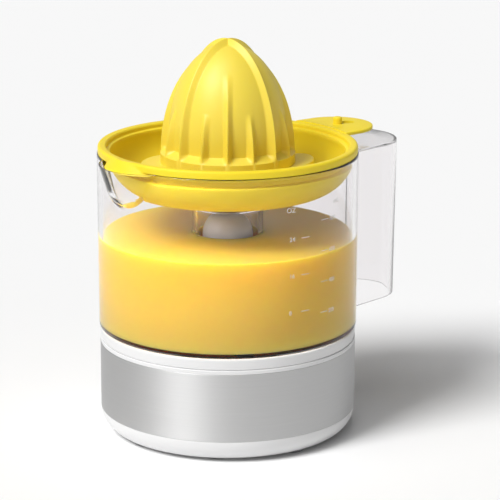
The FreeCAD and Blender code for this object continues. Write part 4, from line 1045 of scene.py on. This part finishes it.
def make_deck():
    """White deck with the tower inside the jug's column, and notches for the jug's keys."""
    outline = [
        (8.05, 43.0), (13.0, 43.0, 0.5), (13.0, DECK_UNDER), (SPIGOT_INNER, DECK_UNDER),
        (SPIGOT_INNER, 46.0), (SPIGOT_RADIUS, 46.0), (SPIGOT_RADIUS, LIP_HIGH), (67.1, LIP_HIGH),
        (67.6, 51.2, 0.4), (BASE_RADIUS, DECK_HIGH, 1.2), (61.0, DECK_HIGH, 0.6),
        (61.0, DECK_FLOOR, 0.8), (TOWER_RADIUS, DECK_FLOOR, 2.5), (TOWER_RADIUS, TOWER_SHOULDER),
    ]
    shoulder = (0.0, TOWER_SHOULDER)
    outline += arc_points(shoulder, TOWER_RADIUS, first=0.0, last=62.0, steps=14)[1:]
    outline += [
        (6.2, 117.77), (6.2, 110.77), (4.6, 110.77), (4.6, 107.8), (10.8, 102.4),
        (10.8, DECK_UNDER), (8.05, DECK_UNDER),
    ]
    piece = lathe("deck_piece", softened(outline))
    notches = bars(
        "notches", count=3, middle_radius=61.75, bar=(3.6, 9.0, 4.0), height=56.05,
        material="white_plastic",
    )
    combine(piece, notches, "DIFFERENCE")
    dress(piece, "white_plastic", "base", "deck")


def make_feet():
    """Grey pads, four on a circle."""
    pad = lathe("pad", softened([
        (0.0, 0.0), (6.5, 0.0, 0.5), (6.5, 2.0), (3.0, 2.0), (3.0, 3.5), (0.0, 3.5),
    ]), SMALL_TURN_STEPS)
    tree = set_tree("feet_set", "GeometryNodeMeshCircle", {
        "Vertices": "NodeSocketInt", "Radius": "NodeSocketFloat",
    })
    feet = grown("feet_piece", tree, {
        "Piece": pad, "Vertices": 4, "Radius": 54.0 * MM, "Material": FINISHES["foot_rubber"],
    })
    bpy.data.objects.remove(pad)
    dress(feet, "foot_rubber", "base", "rubber_feet")


def make_spring():
    """Return spring under the shaft's shoulder, made at one length; the real spring shortens as the
    shaft goes down.
    """
    spring = grown("spring_piece", coil_tree(), {
        "Turns": 5.0, "Coil radius": 3.55 * MM, "Rise": 8.6 * MM, "Wire radius": 0.4 * MM,
        "Material": FINISHES["shaft_steel"],
    })
    dress(shifted(spring, height=50.95), "shaft_steel", "output", "return_spring", angle=60)
    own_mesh(spring)


def dress_inner_solids():
    """Finishes of the solids that are shown as they are."""
    slots = {item["node"]: item["material_slot"] for item in frame["record"]["subparts"]}
    for name, node in frame["nodes"].items():
        node.data.materials.clear()
        node.data.materials.append(FINISHES[slots[name]])


def bent(mesh, angle, height):
    """Bend a flat mesh round the jug's outer wall, just clear of it."""
    clear = 0.02
    foot = jug_outer(height) + clear
    for vert in mesh.vertices:
        radius = foot + vert.co.z
        swing = math.radians(angle) + vert.co.x / radius
        place = (radius * math.cos(swing), radius * math.sin(swing), height + vert.co.y)
        vert.co = Vector(place) * MM
    return new_object(mesh.name, mesh)


def relief_text(words, angle, height, size):
    """Raised lettering of the volume scale, bent round the jug."""
    curve = bpy.data.curves.new("lettering", "FONT")
    curve.body = words
    curve.size = size
    curve.extrude = 0.1
    piece = new_object("lettering", curve)
    mesh = plain_mesh(piece)
    bpy.data.objects.remove(piece)
    return bent(mesh, angle, height)


def relief_ticks(angle, step, count):
    """Raised lines of the volume scale, one step above the other from the jug's floor up."""
    length, width, depth = 5.0, 0.35, 0.2
    form = bmesh.new()
    bmesh.ops.create_grid(form, x_segments=8, y_segments=1, size=0.5)
    bmesh.ops.solidify(form, geom=form.faces[:], thickness=depth)
    for vert in form.verts:
        vert.co.x = (vert.co.x + 0.5) * length
        vert.co.y *= width
    tick = bent(mesh_from("tick", form), angle, JUG_FLOOR + step)
    tree = set_tree("tick_row", "GeometryNodeMeshLine", {
        "Count": "NodeSocketInt", "Offset": "NodeSocketVector",
    })
    row = grown("ticks", tree, {
        "Piece": tick, "Count": count, "Offset": (0, 0, step * MM),
        "Material": FINISHES["scale_relief"],
    })
    bpy.data.objects.remove(tick)
    return row


def make_scale():
    """Volume scale on the front of the jug: 8 ounces or 200 millilitres to a mark."""
    ounces_step, ounces_marks = 19.3, 3
    millilitres_step, millilitres_marks = 16.3, 4
    unit_size, number_size, number_drop = 3.6, 3.2, 1.2
    pieces = [
        relief_text("OZ", angle=-102.5, height=131.8, size=unit_size),
        relief_text("mL", angle=-76.5, height=132.5, size=unit_size),
        relief_ticks(angle=-95.0, step=ounces_step, count=ounces_marks),
        relief_ticks(angle=-84.0, step=millilitres_step, count=millilitres_marks),
    ]
    for mark in range(1, ounces_marks + 1):
        height = JUG_FLOOR + ounces_step * mark - number_drop
        pieces.append(relief_text(str(8 * mark), -101.0, height, number_size))
    for mark in range(1, millilitres_marks + 1):
        height = JUG_FLOOR + millilitres_step * mark - number_drop
        pieces.append(relief_text(str(200 * mark), -79.0, height, number_size))
    dress(join("scale_piece", *pieces), "clear_plastic", "jug", material="scale_relief")


def make_floor():
    """Pale floor of the stage."""
    half_side = 15.0
    form = bmesh.new()
    bmesh.ops.create_grid(form, x_segments=1, y_segments=1, size=half_side)
    piece = new_object("floor", mesh_from("floor", form))
    white, *_ = finish(
        "floor_white", base_color=(0.95, 0.95, 0.95, 1), roughness=0.9, specular_ior_level=0.0
    )
    piece.data.materials.append(white)


def light_world():
    """White to the camera and through the jug; softer in gloss, in echoes and as a light."""
    world = bpy.data.worlds.new("studio")
    bpy.context.scene.world = world
    world.use_nodes = True
    world.node_tree.nodes.clear()
    maker = Maker(world.node_tree)
    path = maker.node("ShaderNodeLightPath")
    camera = maker.out(path, "Is Camera Ray")
    through = maker.out(path, "Is Transmission Ray")
    seen = maker.math("MAXIMUM", camera, through)
    gloss = maker.out(path, "Is Glossy Ray") * (1.0 - seen)
    echo = maker.math("GREATER_THAN", maker.out(path, "Glossy Depth"), 0.5)
    as_light, when_seen, lost_in_echo, in_gloss = 0.1, 0.9, 0.6, 0.5
    strength = as_light + seen * (when_seen - lost_in_echo * echo) + in_gloss * gloss
    sky = maker.node("ShaderNodeBackground", None, {"Color": (1, 1, 1, 1), "Strength": strength})
    maker.node("ShaderNodeOutputWorld", None, {"Surface": maker.out(sky)})


def sun(name, energy, spread, angle, elevation):
    """A soft lamp from far away, turned to the middle of the object; angles in degrees."""
    data = bpy.data.lights.new(name, "SUN")
    data.energy = energy
    data.angle = math.radians(spread)
    lamp = new_object(name, data)
    distance = 3.0
    middle = Vector((0, 0, 0.1))
    turn = math.radians(angle)
    tilt = math.radians(elevation)
    level = math.cos(tilt)
    place = Vector((math.cos(turn) * level, math.sin(turn) * level, math.sin(tilt))) * distance
    lamp.location = place
    lamp.rotation_euler = (middle - place).to_track_quat("-Z", "Y").to_euler()


def light_object():
    """Key light from the upper left, a weak fill from the front and a soft light from above."""
    sun("key", energy=2.7, spread=24, angle=184, elevation=47)
    sun("fill", energy=0.2, spread=60, angle=265, elevation=9)
    sun("top", energy=0.88, spread=46, angle=190, elevation=69)


def set_camera():
    """The view: a long lens, to the left of the front and a little above."""
    azimuth, dip = -38, 14.92
    distance, height = 1.2294, 0.4239
    data = bpy.data.cameras.new("camera")
    data.lens = 172.8
    data.sensor_width = 36.0
    data.shift_x = 0.0445
    camera = new_object("camera", data)
    turn = math.radians(azimuth - 90)
    camera.location = (distance * math.cos(turn), distance * math.sin(turn), height)
    camera.rotation_euler = (math.radians(90 - dip), 0, math.radians(azimuth))
    bpy.context.scene.camera = camera


dress_inner_solids()
make_base()
make_feet()
make_spring()
make_jug()
make_juice()
make_scale()
make_strainer()
make_reamer()
light_world()
make_floor()
light_object()
set_camera()
bpy.context.scene.view_settings.view_transform = "Standard"
